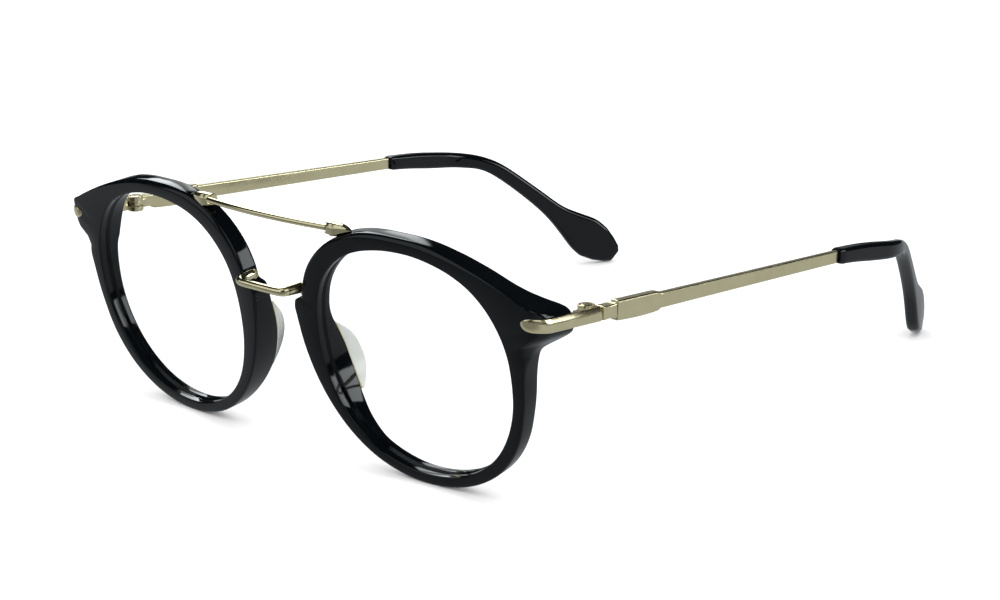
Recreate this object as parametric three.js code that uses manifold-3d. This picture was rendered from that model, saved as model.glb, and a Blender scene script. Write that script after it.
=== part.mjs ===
// Round acetate eyeglasses with a metal double bridge, metal spring-hinged temples
// and acetate temple tips.
// Units are millimetres. +X is the wearer's left, +Y runs back along the temples, +Z is up.
// The lowest point stands on z = 0, with the middle of the whole box over the origin.
// Every paired piece is shaped on the wearer's left and mirrored for the right.
import * as THREE from 'three';
import { mergeVertices } from 'three/addons/utils/BufferGeometryUtils.js';
import Module from 'manifold-3d';

const wasm = await Module();
wasm.setup();
const { degToRad, radToDeg, lerp } = THREE.MathUtils;

// ---------------------------------------------------------------- small tools
const vec = (x, y, z) => new THREE.Vector3(x, y, z);
const X_AXIS = vec(1, 0, 0);
const Z_AXIS = vec(0, 0, 1);

// angle in degrees, 0 to 360, of a point in the rim plane
const angleOf = (across, up) => (radToDeg(Math.atan2(up, across)) + 360) % 360;

// monotone cubic interpolation of a closed table of [angle, value]
function closedTable(rows) {
  const sorted = [...rows].sort((first, second) => first[0] - second[0]);
  const count = sorted.length;
  const angle = (i) => sorted[(i + count) % count][0] + 360 * Math.floor(i / count);
  const value = (i) => sorted[(i + count) % count][1];
  const slope = (i) => (value(i + 1) - value(i)) / (angle(i + 1) - angle(i));
  const tangent = (i) => {
    const before = slope(i - 1);
    const after = slope(i);
    return before * after <= 0 ? 0 : (2 * before * after) / (before + after);
  };
  return (degrees) => {
    const wrapped = ((degrees % 360) + 360) % 360;
    let i = -1;
    while (i + 1 < count && angle(i + 1) <= wrapped) i++;
    const span = angle(i + 1) - angle(i);
    const part = (wrapped - angle(i)) / span;
    const rest = 1 - part;
    return value(i) * (1 + 2 * part) * rest ** 2 + tangent(i) * span * part * rest ** 2
      + value(i + 1) * part ** 2 * (3 - 2 * part) - tangent(i + 1) * span * part ** 2 * rest;
  };
}

const flat = (points) => points.flatMap((point) => point.toArray());

// indexed geometry whose faces are turned to enclose a positive volume
function outwards(coords, index) {
  const corner = (i) => vec(...coords.slice(index[i] * 3, index[i] * 3 + 3));
  let volume = 0;
  for (let i = 0; i < index.length; i += 3) {
    volume += corner(i).dot(corner(i + 1).cross(corner(i + 2)));
  }
  if (volume < 0) {
    for (let i = 0; i < index.length; i += 3) {
      [index[i + 1], index[i + 2]] = [index[i + 2], index[i + 1]];
    }
  }
  const geometry = new THREE.BufferGeometry();
  geometry.setAttribute('position', new THREE.Float32BufferAttribute(coords, 3));
  geometry.setIndex(index);
  return geometry;
}

// a skin through rings of points; ends are capped unless the rings close on themselves
function loft(rings, closed = false) {
  const size = rings[0].length;
  const index = [];
  const spans = closed ? rings.length : rings.length - 1;
  for (let i = 0; i < spans; i++) {
    const here = i * size;
    const there = ((i + 1) % rings.length) * size;
    for (let j = 0; j < size; j++) {
      const k = (j + 1) % size;
      index.push(here + j, there + j, there + k, here + j, there + k, here + k);
    }
  }
  if (!closed) {
    const end = (rings.length - 1) * size;
    for (let j = 1; j < size - 1; j++) index.push(0, j, j + 1);
    for (let j = 1; j < size - 1; j++) index.push(end, end + j + 1, end + j);
  }
  return outwards(flat(rings.flat()), index);
}

function mirrored(geometry) {
  const coords = Array.from(geometry.attributes.position.array);
  const flipped = coords.map((value, i) => (i % 3 === 0 ? -value : value));
  return outwards(flipped, Array.from(geometry.index.array));
}

function circle(centre, axisA, axisB, radius, sides) {
  return Array.from({ length: sides }, (_, i) => {
    const angle = (2 * Math.PI * i) / sides;
    return centre.clone().addScaledVector(axisA, radius * Math.cos(angle))
      .addScaledVector(axisB, radius * Math.sin(angle));
  });
}

// round rod through points, with one radius or a list of one for each point
function rod(points, radius, sides) {
  return loft(points.map((point, i) => {
    const next = points[Math.min(i + 1, points.length - 1)];
    const along = next.clone().sub(points[Math.max(i - 1, 0)]).normalize();
    const reference = Math.abs(along.z) > 0.9 ? vec(0, 1, 0) : Z_AXIS;
    const axisA = vec().crossVectors(along, reference).normalize();
    const axisB = vec().crossVectors(axisA, along).normalize();
    return circle(point, axisA, axisB, Array.isArray(radius) ? radius[i] : radius, sides);
  }));
}

// eight-sided section, a rectangle with clipped corners
function slab(centre, sideAxis, upAxis, halfWide, halfHigh, clip) {
  const wide = halfWide - clip;
  const high = halfHigh - clip;
  return [
    [halfWide, high], [wide, halfHigh], [-wide, halfHigh], [-halfWide, high],
    [-halfWide, -high], [-wide, -halfHigh], [wide, -halfHigh], [halfWide, -high],
  ].map(([x, y]) => centre.clone().addScaledVector(sideAxis, x).addScaledVector(upAxis, y));
}

function block(x0, x1, y0, y1, z0, z1) {
  const geometry = new THREE.BoxGeometry(x1 - x0, y1 - y0, z1 - z0);
  return geometry.translate((x0 + x1) / 2, (y0 + y1) / 2, (z0 + z1) / 2);
}

// positions only, with shared vertices
function weld(geometry) {
  const bare = geometry.clone();
  for (const key of Object.keys(bare.attributes)) {
    if (key !== 'position') bare.deleteAttribute(key);
  }
  return mergeVertices(bare, 1e-5);
}

function solid(geometry) {
  const welded = weld(geometry);
  return new wasm.Manifold(new wasm.Mesh({
    numProp: 3,
    vertProperties: new Float32Array(welded.attributes.position.array),
    triVerts: new Uint32Array(welded.index.array),
  }));
}

function geometryOf(manifold) {
  const mesh = manifold.getMesh();
  const geometry = new THREE.BufferGeometry();
  const coords = new Float32Array(mesh.vertProperties);
  geometry.setAttribute('position', new THREE.BufferAttribute(coords, 3));
  geometry.setIndex(Array.from(mesh.triVerts));
  return geometry;
}

const cut = (body, ...tools) =>
  geometryOf(tools.reduce((rest, tool) => rest.subtract(solid(tool)), solid(body)));
const join = (first, ...others) =>
  geometryOf(others.reduce((whole, part) => whole.add(solid(part)), solid(first)));

// ---------------------------------------------------------------- materials
const material = (settings) => () => new THREE.MeshStandardMaterial(settings);
const blackAcetate = material({
  name: 'black_acetate', color: 0x17181a, roughness: 0.12, metalness: 0,
});
const gold = material({ name: 'gold_metal', color: 0xc6b98d, roughness: 0.28, metalness: 1 });
const clearAcetate = material({
  name: 'clear_acetate', color: 0xd9dcd6, roughness: 0.15, metalness: 0,
  opacity: 0.6, transparent: true,
});
const lensClear = material({
  name: 'lens', color: 0xf4f8f8, roughness: 0.02, metalness: 0,
  opacity: 0.12, transparent: true,
});
const steel = material({ name: 'steel', color: 0x8d9092, roughness: 0.35, metalness: 1 });

// ---------------------------------------------------------------- rim frame of reference
const HALF_LENS_PITCH = 35.0; // lens centre to the middle of the nose
const LENS_CENTRE_Z = 26.28;
const WRAP = degToRad(4.025); // each rim turns back towards its temple
const TILT = degToRad(-9.633); // the top of the front leans forward

// A place on the rim is given as across (towards the temple), up (along the rim plane)
// and back (behind the front face), measured from the lens centre. Angles start at the
// temple side and run anticlockwise on the left rim seen from the front.
const LENS_CENTRE = vec(HALF_LENS_PITCH, 0, LENS_CENTRE_Z);
const ACROSS = vec(
  Math.cos(WRAP), Math.sin(WRAP) * Math.cos(TILT), -Math.sin(WRAP) * Math.sin(TILT));
const UP = vec(0, Math.sin(TILT), Math.cos(TILT));
const BACK = vec(
  -Math.sin(WRAP), Math.cos(WRAP) * Math.cos(TILT), -Math.cos(WRAP) * Math.sin(TILT));
const onRim = (across, up, back) => LENS_CENTRE.clone()
  .addScaledVector(ACROSS, across).addScaledVector(UP, up).addScaledVector(BACK, back);
function polar(degrees, radius, back) {
  const angle = degToRad(degrees);
  return onRim(radius * Math.cos(angle), radius * Math.sin(angle), back);
}

// ---------------------------------------------------------------- rim
const BACK_BEVEL = 0.8;
const LIP_BEVEL_FRONT = 0.35;
const LIP_BEVEL_BACK = 0.5;
const GROOVE_BACK = 2.0; // depth of the groove's bottom behind the front face
const GROOVE_DEEP = 0.75;
const GROOVE_HALF = 0.9;

// lens opening: [angle, radius of the front lip]
const lipRadius = closedTable([
  [0, 23.9], [15, 24.15], [30, 24.1], [45, 23.75], [60, 22.85], [75, 22.15],
  [90, 21.95], [105, 22.35], [120, 23.35], [135, 24.2], [150, 24.5], [165, 24.0],
  [180, 23.6], [195, 23.7], [210, 24.1], [225, 24.4], [240, 24.45], [255, 24.35],
  [270, 24.35], [285, 24.5], [300, 24.75], [315, 24.75], [330, 24.45], [345, 24.15],
]);
// outer outline of the rim: [across, up]
const OUTLINE = [
  [27.0, 0], [27.55, 3], [28.35, 5.7], [29.6, 7.8], [31.0, 9.0], [32.0, 9.8],
  [32.4, 11.0], [32.45, 12.5], [32.4, 14.1], [32.0, 14.8], [31.0, 15.4], [28.5, 16.4],
  [24.0, 18.45], [20.0, 20.2], [15.0, 22.0], [10.5, 23.35], [5, 24.45], [0, 24.8],
  [-5.1, 24.9], [-9.7, 24.5], [-14.4, 23.2], [-18.5, 21.2], [-22.0, 18.4], [-24.7, 15.0],
  [-26.3, 11.4], [-26.9, 8.35], [-28.9, 7.7], [-29.2, 6.5], [-28.8, 3.0], [-28.3, -1.0],
  [-27.3, -4.8], [-26.2, -8.0], [-23.4, -13.5], [-19.0, -19.0], [-13.4, -23.2],
  [-6.9, -25.7], [0, -26.6], [6.9, -25.9], [13.6, -23.5], [19.4, -19.4], [23.6, -13.7],
  [25.9, -6.9],
];
const rimRadius = closedTable(
  OUTLINE.map(([across, up]) => [angleOf(across, up), Math.hypot(across, up)]));
// depth of the rim behind its front face, at the outside: [angle, depth]
const outerDepth = closedTable([
  [0, 4.7], [8, 4.9], [12.5, 5.2], [14.2, 6.3], [15.2, 8.6], [16.2, 10.2], [17, 10.8],
  [19, 10.9], [23, 10.5], [25.5, 10.0], [27.5, 9.4], [29.5, 8.5], [33, 6.9], [38, 6.1],
  [46, 5.6], [54, 5.1], [66, 4.5], [90, 4.2], [164, 4.25], [172, 4.6], [180, 5.3],
  [190, 5.9], [202, 6.0], [212, 5.5], [224, 4.7], [238, 4.2], [330, 4.2], [347, 4.4],
]);
// and at the lens opening: [angle, depth]
const innerDepth = closedTable([
  [0, 4.6], [8, 4.9], [15, 5.3], [24, 5.7], [32, 5.7], [42, 5.3], [52, 4.9], [65, 4.4],
  [90, 4.15], [164, 4.2], [172, 4.7], [178, 5.7], [184, 6.6], [191, 7.2], [200, 7.3],
  [208, 7.0], [216, 6.3], [226, 5.2], [240, 4.25], [330, 4.15], [347, 4.3],
]);
// bevel of the outer front edge, rounder at the endpiece: [angle, bevel]
const frontBevel = closedTable([
  [0, 0.5], [8, 0.9], [14, 2.5], [24, 2.5], [26.2, 1.0], [29, 0.6], [38, 0.5], [90, 0.5],
  [180, 0.5], [270, 0.5],
]);
// The endpiece runs back level with the temple, not square to the lens, so it falls
// this much per millimetre of depth, by a share that varies round the rim: [angle, share]
const FALL = 0.226;
const fallShare = closedTable([
  [0, 0], [9, 0.1], [13, 0.6], [15, 1], [38, 1], [50, 0.6], [62, 0.15], [74, 0], [90, 0],
  [180, 0], [270, 0], [350, 0],
]);

// every 6 degrees, and closer at the endpiece and the nasal shoulder
const SECTION_ANGLES = [...new Set([
  ...Array.from({ length: 60 }, (_, i) => i * 6),
  3, 9, 10.6, 12.4, 14.2, 15.2, 16.2, 17.1, 18.7, 21, 23.5, 24.8, 25.6, 26.4, 28, 33, 39, 45,
  160, 161.5, 162.6, 163.6, 164.8, 166, 167.2, 170,
])].sort((first, second) => first - second);

function rimSection(degrees) {
  const inside = lipRadius(degrees);
  const outside = rimRadius(degrees);
  const depthIn = innerDepth(degrees);
  const depthOut = outerDepth(degrees);
  const bevel = frontBevel(degrees);
  const angle = degToRad(degrees);
  return [
    [outside - bevel, 0], [outside - bevel * 0.29, bevel * 0.29], [outside, bevel],
    [outside, depthOut - BACK_BEVEL], [outside - BACK_BEVEL, depthOut],
    [inside + LIP_BEVEL_BACK, depthIn], [inside, depthIn - LIP_BEVEL_BACK],
    [inside, GROOVE_BACK + GROOVE_HALF], [inside + GROOVE_DEEP, GROOVE_BACK],
    [inside, GROOVE_BACK - GROOVE_HALF],
    [inside, LIP_BEVEL_FRONT], [inside + LIP_BEVEL_FRONT, 0],
  ].map(([radius, back]) => {
    const outness = THREE.MathUtils.clamp((radius - inside) / (outside - inside), 0, 1);
    const fall = FALL * back * fallShare(degrees) * outness;
    return onRim(radius * Math.cos(angle), radius * Math.sin(angle) - fall, back);
  });
}

// bisects for the angle at which the outline's across (Math.cos) or up (Math.sin) falls
// to the given value
function outlineAngle(low, high, component, value) {
  for (let k = 0; k < 40; k++) {
    const middle = (low + high) / 2;
    if (rimRadius(middle) * component(degToRad(middle)) > value) low = middle;
    else high = middle;
  }
  return low;
}

// ---------------------------------------------------------------- lens
const LENS_HALF_THICK = 0.65;
const LENS_EDGE_IN = 0.25; // how far the lens plateau stays inside the lip
const LENS_BEVEL = 0.42; // how far its bevel reaches into the groove
const LENS_RIDGE_HALF = 0.08; // half the flat at the bevel's outer edge
const LENS_SAG = 1.3; // dome of the lens towards the front
const LENS_ROWS = [0.35, 0.7, 1]; // shares of the radius
const LENS_SPOKES = 48;

function lensGeometry() {
  // face is -1 at the front and 1 at the back
  const onLens = (degrees, share, face) => polar(
    degrees, (lipRadius(degrees) - LENS_EDGE_IN) * share,
    GROOVE_BACK + face * LENS_HALF_THICK - LENS_SAG * (1 - share ** 2));
  const rings = Array.from({ length: LENS_SPOKES }, (_, i) => {
    const degrees = (i * 360) / LENS_SPOKES;
    const ridge = lipRadius(degrees) + LENS_BEVEL;
    return [
      ...LENS_ROWS.map((share) => onLens(degrees, share, -1)),
      polar(degrees, ridge, GROOVE_BACK - LENS_RIDGE_HALF),
      polar(degrees, ridge, GROOVE_BACK + LENS_RIDGE_HALF),
      ...[...LENS_ROWS].reverse().map((share) => onLens(degrees, share, 1)),
    ];
  });
  const size = rings[0].length;
  const frontCentre = rings.length * size;
  const backCentre = frontCentre + 1;
  const index = [];
  for (let i = 0; i < rings.length; i++) {
    const here = i * size;
    const there = ((i + 1) % rings.length) * size;
    for (let j = 0; j < size - 1; j++) {
      index.push(here + j, there + j, there + j + 1, here + j, there + j + 1, here + j + 1);
    }
    index.push(frontCentre, there, here, backCentre, here + size - 1, there + size - 1);
  }
  return outwards(flat([...rings.flat(), onLens(0, 0, -1), onLens(0, 0, 1)]), index);
}

// ---------------------------------------------------------------- nose pad
const PAD_LENS_INSET = 0.6; // from the lip
const PAD_NOSE_INSET = BACK_BEVEL + 0.1; // from the rim outline
const PAD_GAP = 0.2; // between the rim's back and the pad's foot
// [up at the lens side, up at the nose side, how far the pad swells back]
const PAD_ROWS = [
  [1.0, 2.8, 0.45], [0.0, 1.6, 1.2], [-1.4, -0.1, 2.2], [-3.0, -2.2, 2.9], [-5.0, -4.5, 3.3],
  [-7.2, -6.9, 3.4], [-9.4, -9.2, 3.0], [-11.4, -11.3, 2.0], [-13.0, -12.9, 0.6],
];

// covers the back of the nasal rim from the shoulder down and swells backwards
function padGeometry() {
  // across coordinate, on the nasal side, of a curve given by its radius
  const nasalAcross = (up, radius) => {
    let across = -26;
    for (let k = 0; k < 6; k++) {
      across = -Math.sqrt(radius(angleOf(across, up)) ** 2 - up ** 2);
    }
    return across;
  };
  const rimWidth = (degrees) => rimRadius(degrees) - lipRadius(degrees);
  // the rim's back slopes between nose side and lens opening, and the pad's foot follows it
  const footBack = (degrees, share) =>
    lerp(outerDepth(degrees), innerDepth(degrees), share) + PAD_GAP;
  return loft(PAD_ROWS.map(([lensUp, noseUp, swell]) => {
    const lensAngle = angleOf(-24, lensUp);
    const noseAngle = angleOf(-28, noseUp);
    const noseFoot = footBack(noseAngle, PAD_NOSE_INSET / rimWidth(noseAngle));
    const lensFoot = footBack(lensAngle, 1 - PAD_LENS_INSET / rimWidth(lensAngle));
    const lensAcross = nasalAcross(lensUp, (angle) => lipRadius(angle) + PAD_LENS_INSET);
    const noseAcross = nasalAcross(noseUp, (angle) => rimRadius(angle) - PAD_NOSE_INSET);
    const scale = swell / 4.5;
    // [across, up, share of the swell]
    return [
      [noseAcross, noseUp, 0], [noseAcross + 1.6 * scale, noseUp, 0.45],
      [noseAcross + 3.0 * scale, noseUp, 0.86], [noseAcross + 3.8 * scale, noseUp, 1],
      [lensAcross + 0.5 * scale, lensUp, 0.97], [lensAcross + 0.75 * scale, lensUp, 0.8],
      [lensAcross, lensUp, 0],
    ].map(([across, up, share]) => {
      const part = Math.min(1, (across - noseAcross) / (lensAcross - noseAcross));
      return onRim(across, up, lerp(noseFoot, lensFoot, part) + swell * share);
    });
  }));
}

// ---------------------------------------------------------------- brow bar
const PIN_R = 0.5;
const PIN_HOLE_R = 0.62;
const BROW_END = vec(17.0, -4.3, 50.1);
const BROW_BOW = 1.5; // the middle of the bar stands this far forward of its ends
const BROW_RISE = 0.1;
const BROW_BAR_HALF = 16.7;
const BROW_SEAT_BACK = 2.1; // depth behind the front face of the lug's seat and its pin
const BROW_PIN_ANGLE = 122.5;
// lug, blunt towards the nose and running out to a point: [x, half depth, top z]
const LUG_STATIONS = [
  [16.6, 1.15, 51.2], [17.0, 1.3, 51.35], [18.2, 1.3, 51.35],
  [19.8, 1.1, 51.0], [21.4, 0.75, 50.5], [22.9, 0.3, 50.2],
];
// lug section: [share of the half depth, share of the height]
const LUG_SECTION = [
  [-1, 0.12], [-1, 0.62], [-0.62, 0.93], [0, 1], [0.62, 0.93], [1, 0.62], [1, 0.12],
  [0.8, 0], [-0.8, 0],
];
const LUG_BLUNT_X = 18.4; // up to here the underside stays above LUG_FLOOR_Z
const LUG_FLOOR_Z = 48.7;

function browPoint(x) {
  const bow = 1 - (x / BROW_END.x) ** 2;
  return vec(x, BROW_END.y - BROW_BOW * bow, BROW_END.z + BROW_RISE * bow);
}

function browBar() {
  const points = Array.from({ length: 13 }, (_, i) =>
    browPoint(-BROW_BAR_HALF + (2 * BROW_BAR_HALF * i) / 12));
  return rod(points, 0.6, 10);
}

function browLug() {
  const body = loft(LUG_STATIONS.map(([x, halfDepth, top]) => {
    const angle = outlineAngle(60, 175, Math.cos, (x - HALF_LENS_PITCH) / ACROSS.x);
    // just above the rim's outer edge below this station
    const seat = polar(angle, rimRadius(angle) + 0.12, BROW_SEAT_BACK);
    const floor = x < LUG_BLUNT_X ? LUG_FLOOR_Z : 0;
    const bottom = Math.max(seat.z + halfDepth * 0.17 + 0.12, floor);
    const height = Math.max(top - bottom, 0.35);
    return LUG_SECTION.map(([side, rise]) =>
      vec(x, seat.y - 0.65 + halfDepth * side, bottom + height * rise));
  }));
  return cut(body, rod([browPoint(15.9), browPoint(BROW_END.x)], 0.72, 10));
}

// rod running radially into the rim top; offsets are from the rim outline, outward positive
function browPinRod(start, end, radius, sides) {
  const points = [start, end].map((offset) =>
    polar(BROW_PIN_ANGLE, rimRadius(BROW_PIN_ANGLE) + offset, BROW_SEAT_BACK));
  return rod(points, radius, sides);
}

// ---------------------------------------------------------------- bridge
// left half of the bar: [x, y, z, radius]
const BRIDGE_HALF = [
  [0, -6.4, 35.55, 0.84], [3, -6.36, 35.55, 0.84], [5.6, -6.25, 35.55, 0.84],
  [6.4, -6.0, 35.56, 0.84], [6.8, -5.4, 35.59, 0.82], [6.98, -4.3, 35.64, 0.84],
  [7.15, -3.2, 35.7, 0.9], [7.3, -2.1, 35.75, 0.95],
];
// foot plate, a rounded triangle on the nasal flank above the shoulder: [up, back]
const FOOT_OUTLINE = [
  [10.8, 2.5], [10.25, 1.2], [9.5, 0.45], [8.6, 0.6], [8.4, 2.7], [8.8, 3.45], [9.85, 3.45],
];
const FOOT_CENTRE = [9.6, 2.2];
// the foot's seat clears the rim's nasal flank over the foot's height
const FOOT_SEAT = Math.min(...[8.6, 9.2, 9.8, 10.4, 11].map((up) => {
  const angle = outlineAngle(90, 178, Math.sin, up);
  return rimRadius(angle) * Math.cos(degToRad(angle));
})) - 0.12;
const BRIDGE_PIN_UP = 9.7;

function bridgeFoot() {
  const [midUp, midBack] = FOOT_CENTRE;
  const layer = (scale, height) => FOOT_OUTLINE.map(([up, back]) => onRim(
    FOOT_SEAT - height, midUp + (up - midUp) * scale, midBack + (back - midBack) * scale));
  return loft([layer(1, 0), layer(1, 0.35), layer(0.72, 0.62)]);
}

// the bar and its two foot plates are one casting
function bridgeBar() {
  const rightHalf = [...BRIDGE_HALF].reverse().map(([x, ...others]) => [-x, ...others]);
  const stations = [...rightHalf, ...BRIDGE_HALF.slice(1)];
  const points = stations.map(([x, y, z]) => vec(x, y, z));
  const bar = rod(points, stations.map((station) => station[3]), 12);
  const foot = bridgeFoot();
  return join(bar, foot, mirrored(foot));
}

// rod from the foot into the rim; each end is [across from the foot's seat, back]
function bridgePinRod(ends, radius, sides) {
  const points = ends.map(([inward, back]) =>
    onRim(FOOT_SEAT + inward, BRIDGE_PIN_UP, back));
  return rod(points, radius, sides);
}

// ---------------------------------------------------------------- endpiece strip
const TEMPLE_Z0 = 38.05; // temple centre line height at y = 13
const TEMPLE_DROP = 0.057; // and its fall per millimetre
const templeZ = (y) => TEMPLE_Z0 - TEMPLE_DROP * (y - 13);

const STRIP_UP = 12.35;
const STRIP_START = onRim(27.95, STRIP_UP, 0).setZ(0);
const STRIP_FULL = onRim(28.75, STRIP_UP, 0).setZ(0);
const STRIP_SKIN = 0.42; // how far it stands proud
const STRIP_TAPER = 3.0; // length of the rounded end
const STRIP_HALF_H = 1.36;
const STRIP_THICK = 1.2;
const STRIP_FRONT_IN = 0.75; // reach into the rim's front face
const STRIP_END_Y = 17.6;
const CORNER_ACROSS = 32.45;
const CORNER_R = 4.0;
const CORNER_STEPS = 7;

// stations in plan along the front face, round the corner and straight back to the hinge;
// the offset grows the strip on all sides
function stripStations(offset) {
  const stations = [];
  const addStation = (outer, inner, travelled) => {
    const taper = 1 - Math.min(travelled / STRIP_TAPER, 1);
    const halfHigh = STRIP_HALF_H * Math.sqrt(Math.max(0.022, 1 - taper ** 2));
    stations.push({ outer, inner, halfHigh });
  };
  const along = STRIP_FULL.clone().sub(STRIP_START).normalize();
  const inward = vec(-along.y, along.x, 0);
  const firstRun = STRIP_START.distanceTo(STRIP_FULL);
  for (const share of [0, 0.15, 0.5, 1.0]) {
    const point = STRIP_START.clone().lerp(STRIP_FULL, share);
    const travelled = share * firstRun;
    const rise = STRIP_SKIN * Math.min(1, 0.25 + travelled);
    addStation(point.clone().addScaledVector(inward, -rise),
      point.clone().addScaledVector(inward, STRIP_FRONT_IN), travelled);
  }
  const cornerX = onRim(CORNER_ACROSS, STRIP_UP, 3).x + STRIP_SKIN - CORNER_R;
  const cornerY = STRIP_FULL.y - STRIP_SKIN + CORNER_R * Math.cos(WRAP);
  const startAngle = -Math.PI / 2 + WRAP;
  const onCorner = (angle, radius) =>
    vec(cornerX + radius * Math.cos(angle), cornerY + radius * Math.sin(angle), 0);
  const cornerRun = firstRun + onCorner(startAngle, CORNER_R).x - STRIP_FULL.x;
  for (let k = 0; k <= CORNER_STEPS; k++) {
    const angle = startAngle * (1 - k / CORNER_STEPS);
    addStation(onCorner(angle, CORNER_R), onCorner(angle, CORNER_R - STRIP_THICK),
      cornerRun + CORNER_R * (angle - startAngle));
  }
  for (const y of [8.5, STRIP_END_Y]) {
    const x = cornerX + CORNER_R - (y - cornerY) * 0.012;
    addStation(vec(x, y, 0), vec(x - STRIP_THICK, y, 0), STRIP_TAPER);
  }
  for (const station of stations) {
    const outward = station.outer.clone().sub(station.inner).normalize();
    station.outer.addScaledVector(outward, offset);
    station.inner.addScaledVector(outward, -offset);
    station.halfHigh += offset;
  }
  return stations;
}

function stripLoft(stations) {
  return loft(stations.map(({ outer, inner, halfHigh }) => {
    const z = templeZ(outer.y) + 0.15;
    // on the front face the section leans with the rim, then it comes upright
    const lean = Math.tan(-TILT) * Math.max(0, 1 - Math.max(0, outer.y - 1.2) / 3);
    const at = (point, rise) => vec(point.x, point.y - lean * rise, z + rise);
    const shoulder = inner.clone().lerp(outer, 0.75);
    const edge = halfHigh - Math.min(0.3, halfHigh * 0.4);
    return [
      at(inner, -halfHigh), at(shoulder, -halfHigh), at(outer, -edge),
      at(outer, edge), at(shoulder, halfHigh), at(inner, halfHigh),
    ];
  }));
}

// the recess for the strip runs a little past both ends
function stripPocket() {
  const stations = stripStations(0.12);
  const first = stations[0];
  const last = stations.at(-1);
  first.outer.x -= 0.1;
  first.inner.x -= 0.1;
  last.outer.y += 0.3;
  last.inner.y += 0.3;
  return stripLoft(stations);
}

const stripEnd = stripStations(0).at(-1);
const STRIP_OUTER_X = stripEnd.outer.x;
const STRIP_INNER_X = stripEnd.inner.x;

// rod square to the rim plane on the endpiece screw's axis, between two depths
function endpieceRod(start, end, radius, sides) {
  return rod([start, end].map((back) => onRim(29.6, STRIP_UP - 0.2, back)), radius, sides);
}
const endpieceScrew = () =>
  join(endpieceRod(1.6, 9.2, 0.55, 10), endpieceRod(8.55, 9.35, 1.1, 12));

function rimGeometry() {
  return cut(
    loft(SECTION_ANGLES.map(rimSection), true),
    stripPocket(),
    browPinRod(1.5, -1.95, PIN_HOLE_R, 10),
    bridgePinRod([[-1.5, 1.9], [1.95, 2.53]], PIN_HOLE_R, 10),
    endpieceRod(12.5, 1.2, 0.72, 10),
    endpieceRod(12.5, 8.4, 1.25, 12),
  );
}

// ---------------------------------------------------------------- hinge
const HINGE = vec(64.75, 16.1, 38.0); // middle of the barrel; the axis is upright
const KNUCKLE_R = 1.4;
const KNUCKLE_HALF = 1.65; // half the barrel height
const KNUCKLE_SLOT_HALF = 0.62; // half the slot between the two outer knuckles
const MID_KNUCKLE_HALF = 0.5;
const SCREW_R = 0.55;
const SCREW_HOLE_R = 0.65;
const SCREW_HEAD_R = 1.0;
const NECK_Y = 18.05;

// upright cylinder on the hinge axis; heights are from the middle of the barrel
const hingeDrum = (low, high, radius, sides) =>
  rod([low, high].map((rise) => vec(HINGE.x, HINGE.y, HINGE.z + rise)), radius, sides);
const screwHole = () => hingeDrum(-3, 3, SCREW_HOLE_R, 14);

function hingeLeaf() {
  const plateX = STRIP_INNER_X - 0.06;
  const plate = block(plateX - 1.1, plateX, HINGE.y - 4.3, HINGE.y + 0.2,
    HINGE.z - 1.4, HINGE.z + 1.4);
  const slot = block(HINGE.x - 3, plateX + 0.5, HINGE.y - 1.8, HINGE.y + 2.6,
    HINGE.z - KNUCKLE_SLOT_HALF, HINGE.z + KNUCKLE_SLOT_HALF);
  const headSeat = hingeDrum(KNUCKLE_HALF - 0.45, 3, SCREW_HEAD_R + 0.1, 16);
  return cut(join(plate, hingeDrum(-KNUCKLE_HALF, KNUCKLE_HALF, KNUCKLE_R, 20)),
    slot, screwHole(), headSeat);
}

function hingeScrew() {
  // [radius, height from the middle of the barrel]
  const profile = [
    [0, -KNUCKLE_HALF - 0.05], [SCREW_R - 0.1, -KNUCKLE_HALF - 0.05],
    [SCREW_R, -KNUCKLE_HALF + 0.1], [SCREW_R, KNUCKLE_HALF - 0.35],
    [SCREW_HEAD_R, KNUCKLE_HALF - 0.35], [SCREW_HEAD_R, KNUCKLE_HALF + 0.1],
    [SCREW_HEAD_R - 0.2, KNUCKLE_HALF + 0.3], [0, KNUCKLE_HALF + 0.38],
  ].map((point) => new THREE.Vector2(...point));
  const screw = new THREE.LatheGeometry(profile, 16).rotateX(Math.PI / 2);
  const slot = block(-0.16, 0.16, -1.3, 1.3, KNUCKLE_HALF + 0.02, KNUCKLE_HALF + 1);
  slot.rotateZ(0.5);
  for (const part of [screw, slot]) part.translate(HINGE.x, HINGE.y, HINGE.z);
  return cut(screw, slot);
}

// ---------------------------------------------------------------- spring box
const BOX_Y0 = 22.1;
const BOX_Y1 = 34.8;
const BOX_X0 = 65.4;
const BOX_X1 = 67.5;
const BOX_HALF_H = 2.0;
const BOX_MID_X = (BOX_X0 + BOX_X1) / 2;
const SHANK_R = 0.34;
const SPRING_MEAN_R = 0.57;
const SPRING_WIRE_R = 0.13;
const BORE_R = 0.78;
const SPRING_Y0 = 23.4;
const SPRING_Y1 = 30.9;
const SPRING_TURNS = 7;
const NUT_Y0 = 31.0;
const NUT_Y1 = 31.9;

const TEMPLE_UP = vec(0, TEMPLE_DROP, 1).normalize(); // square to the temple's fall
const onBox = (y) => vec(BOX_MID_X, y, templeZ(y));

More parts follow.
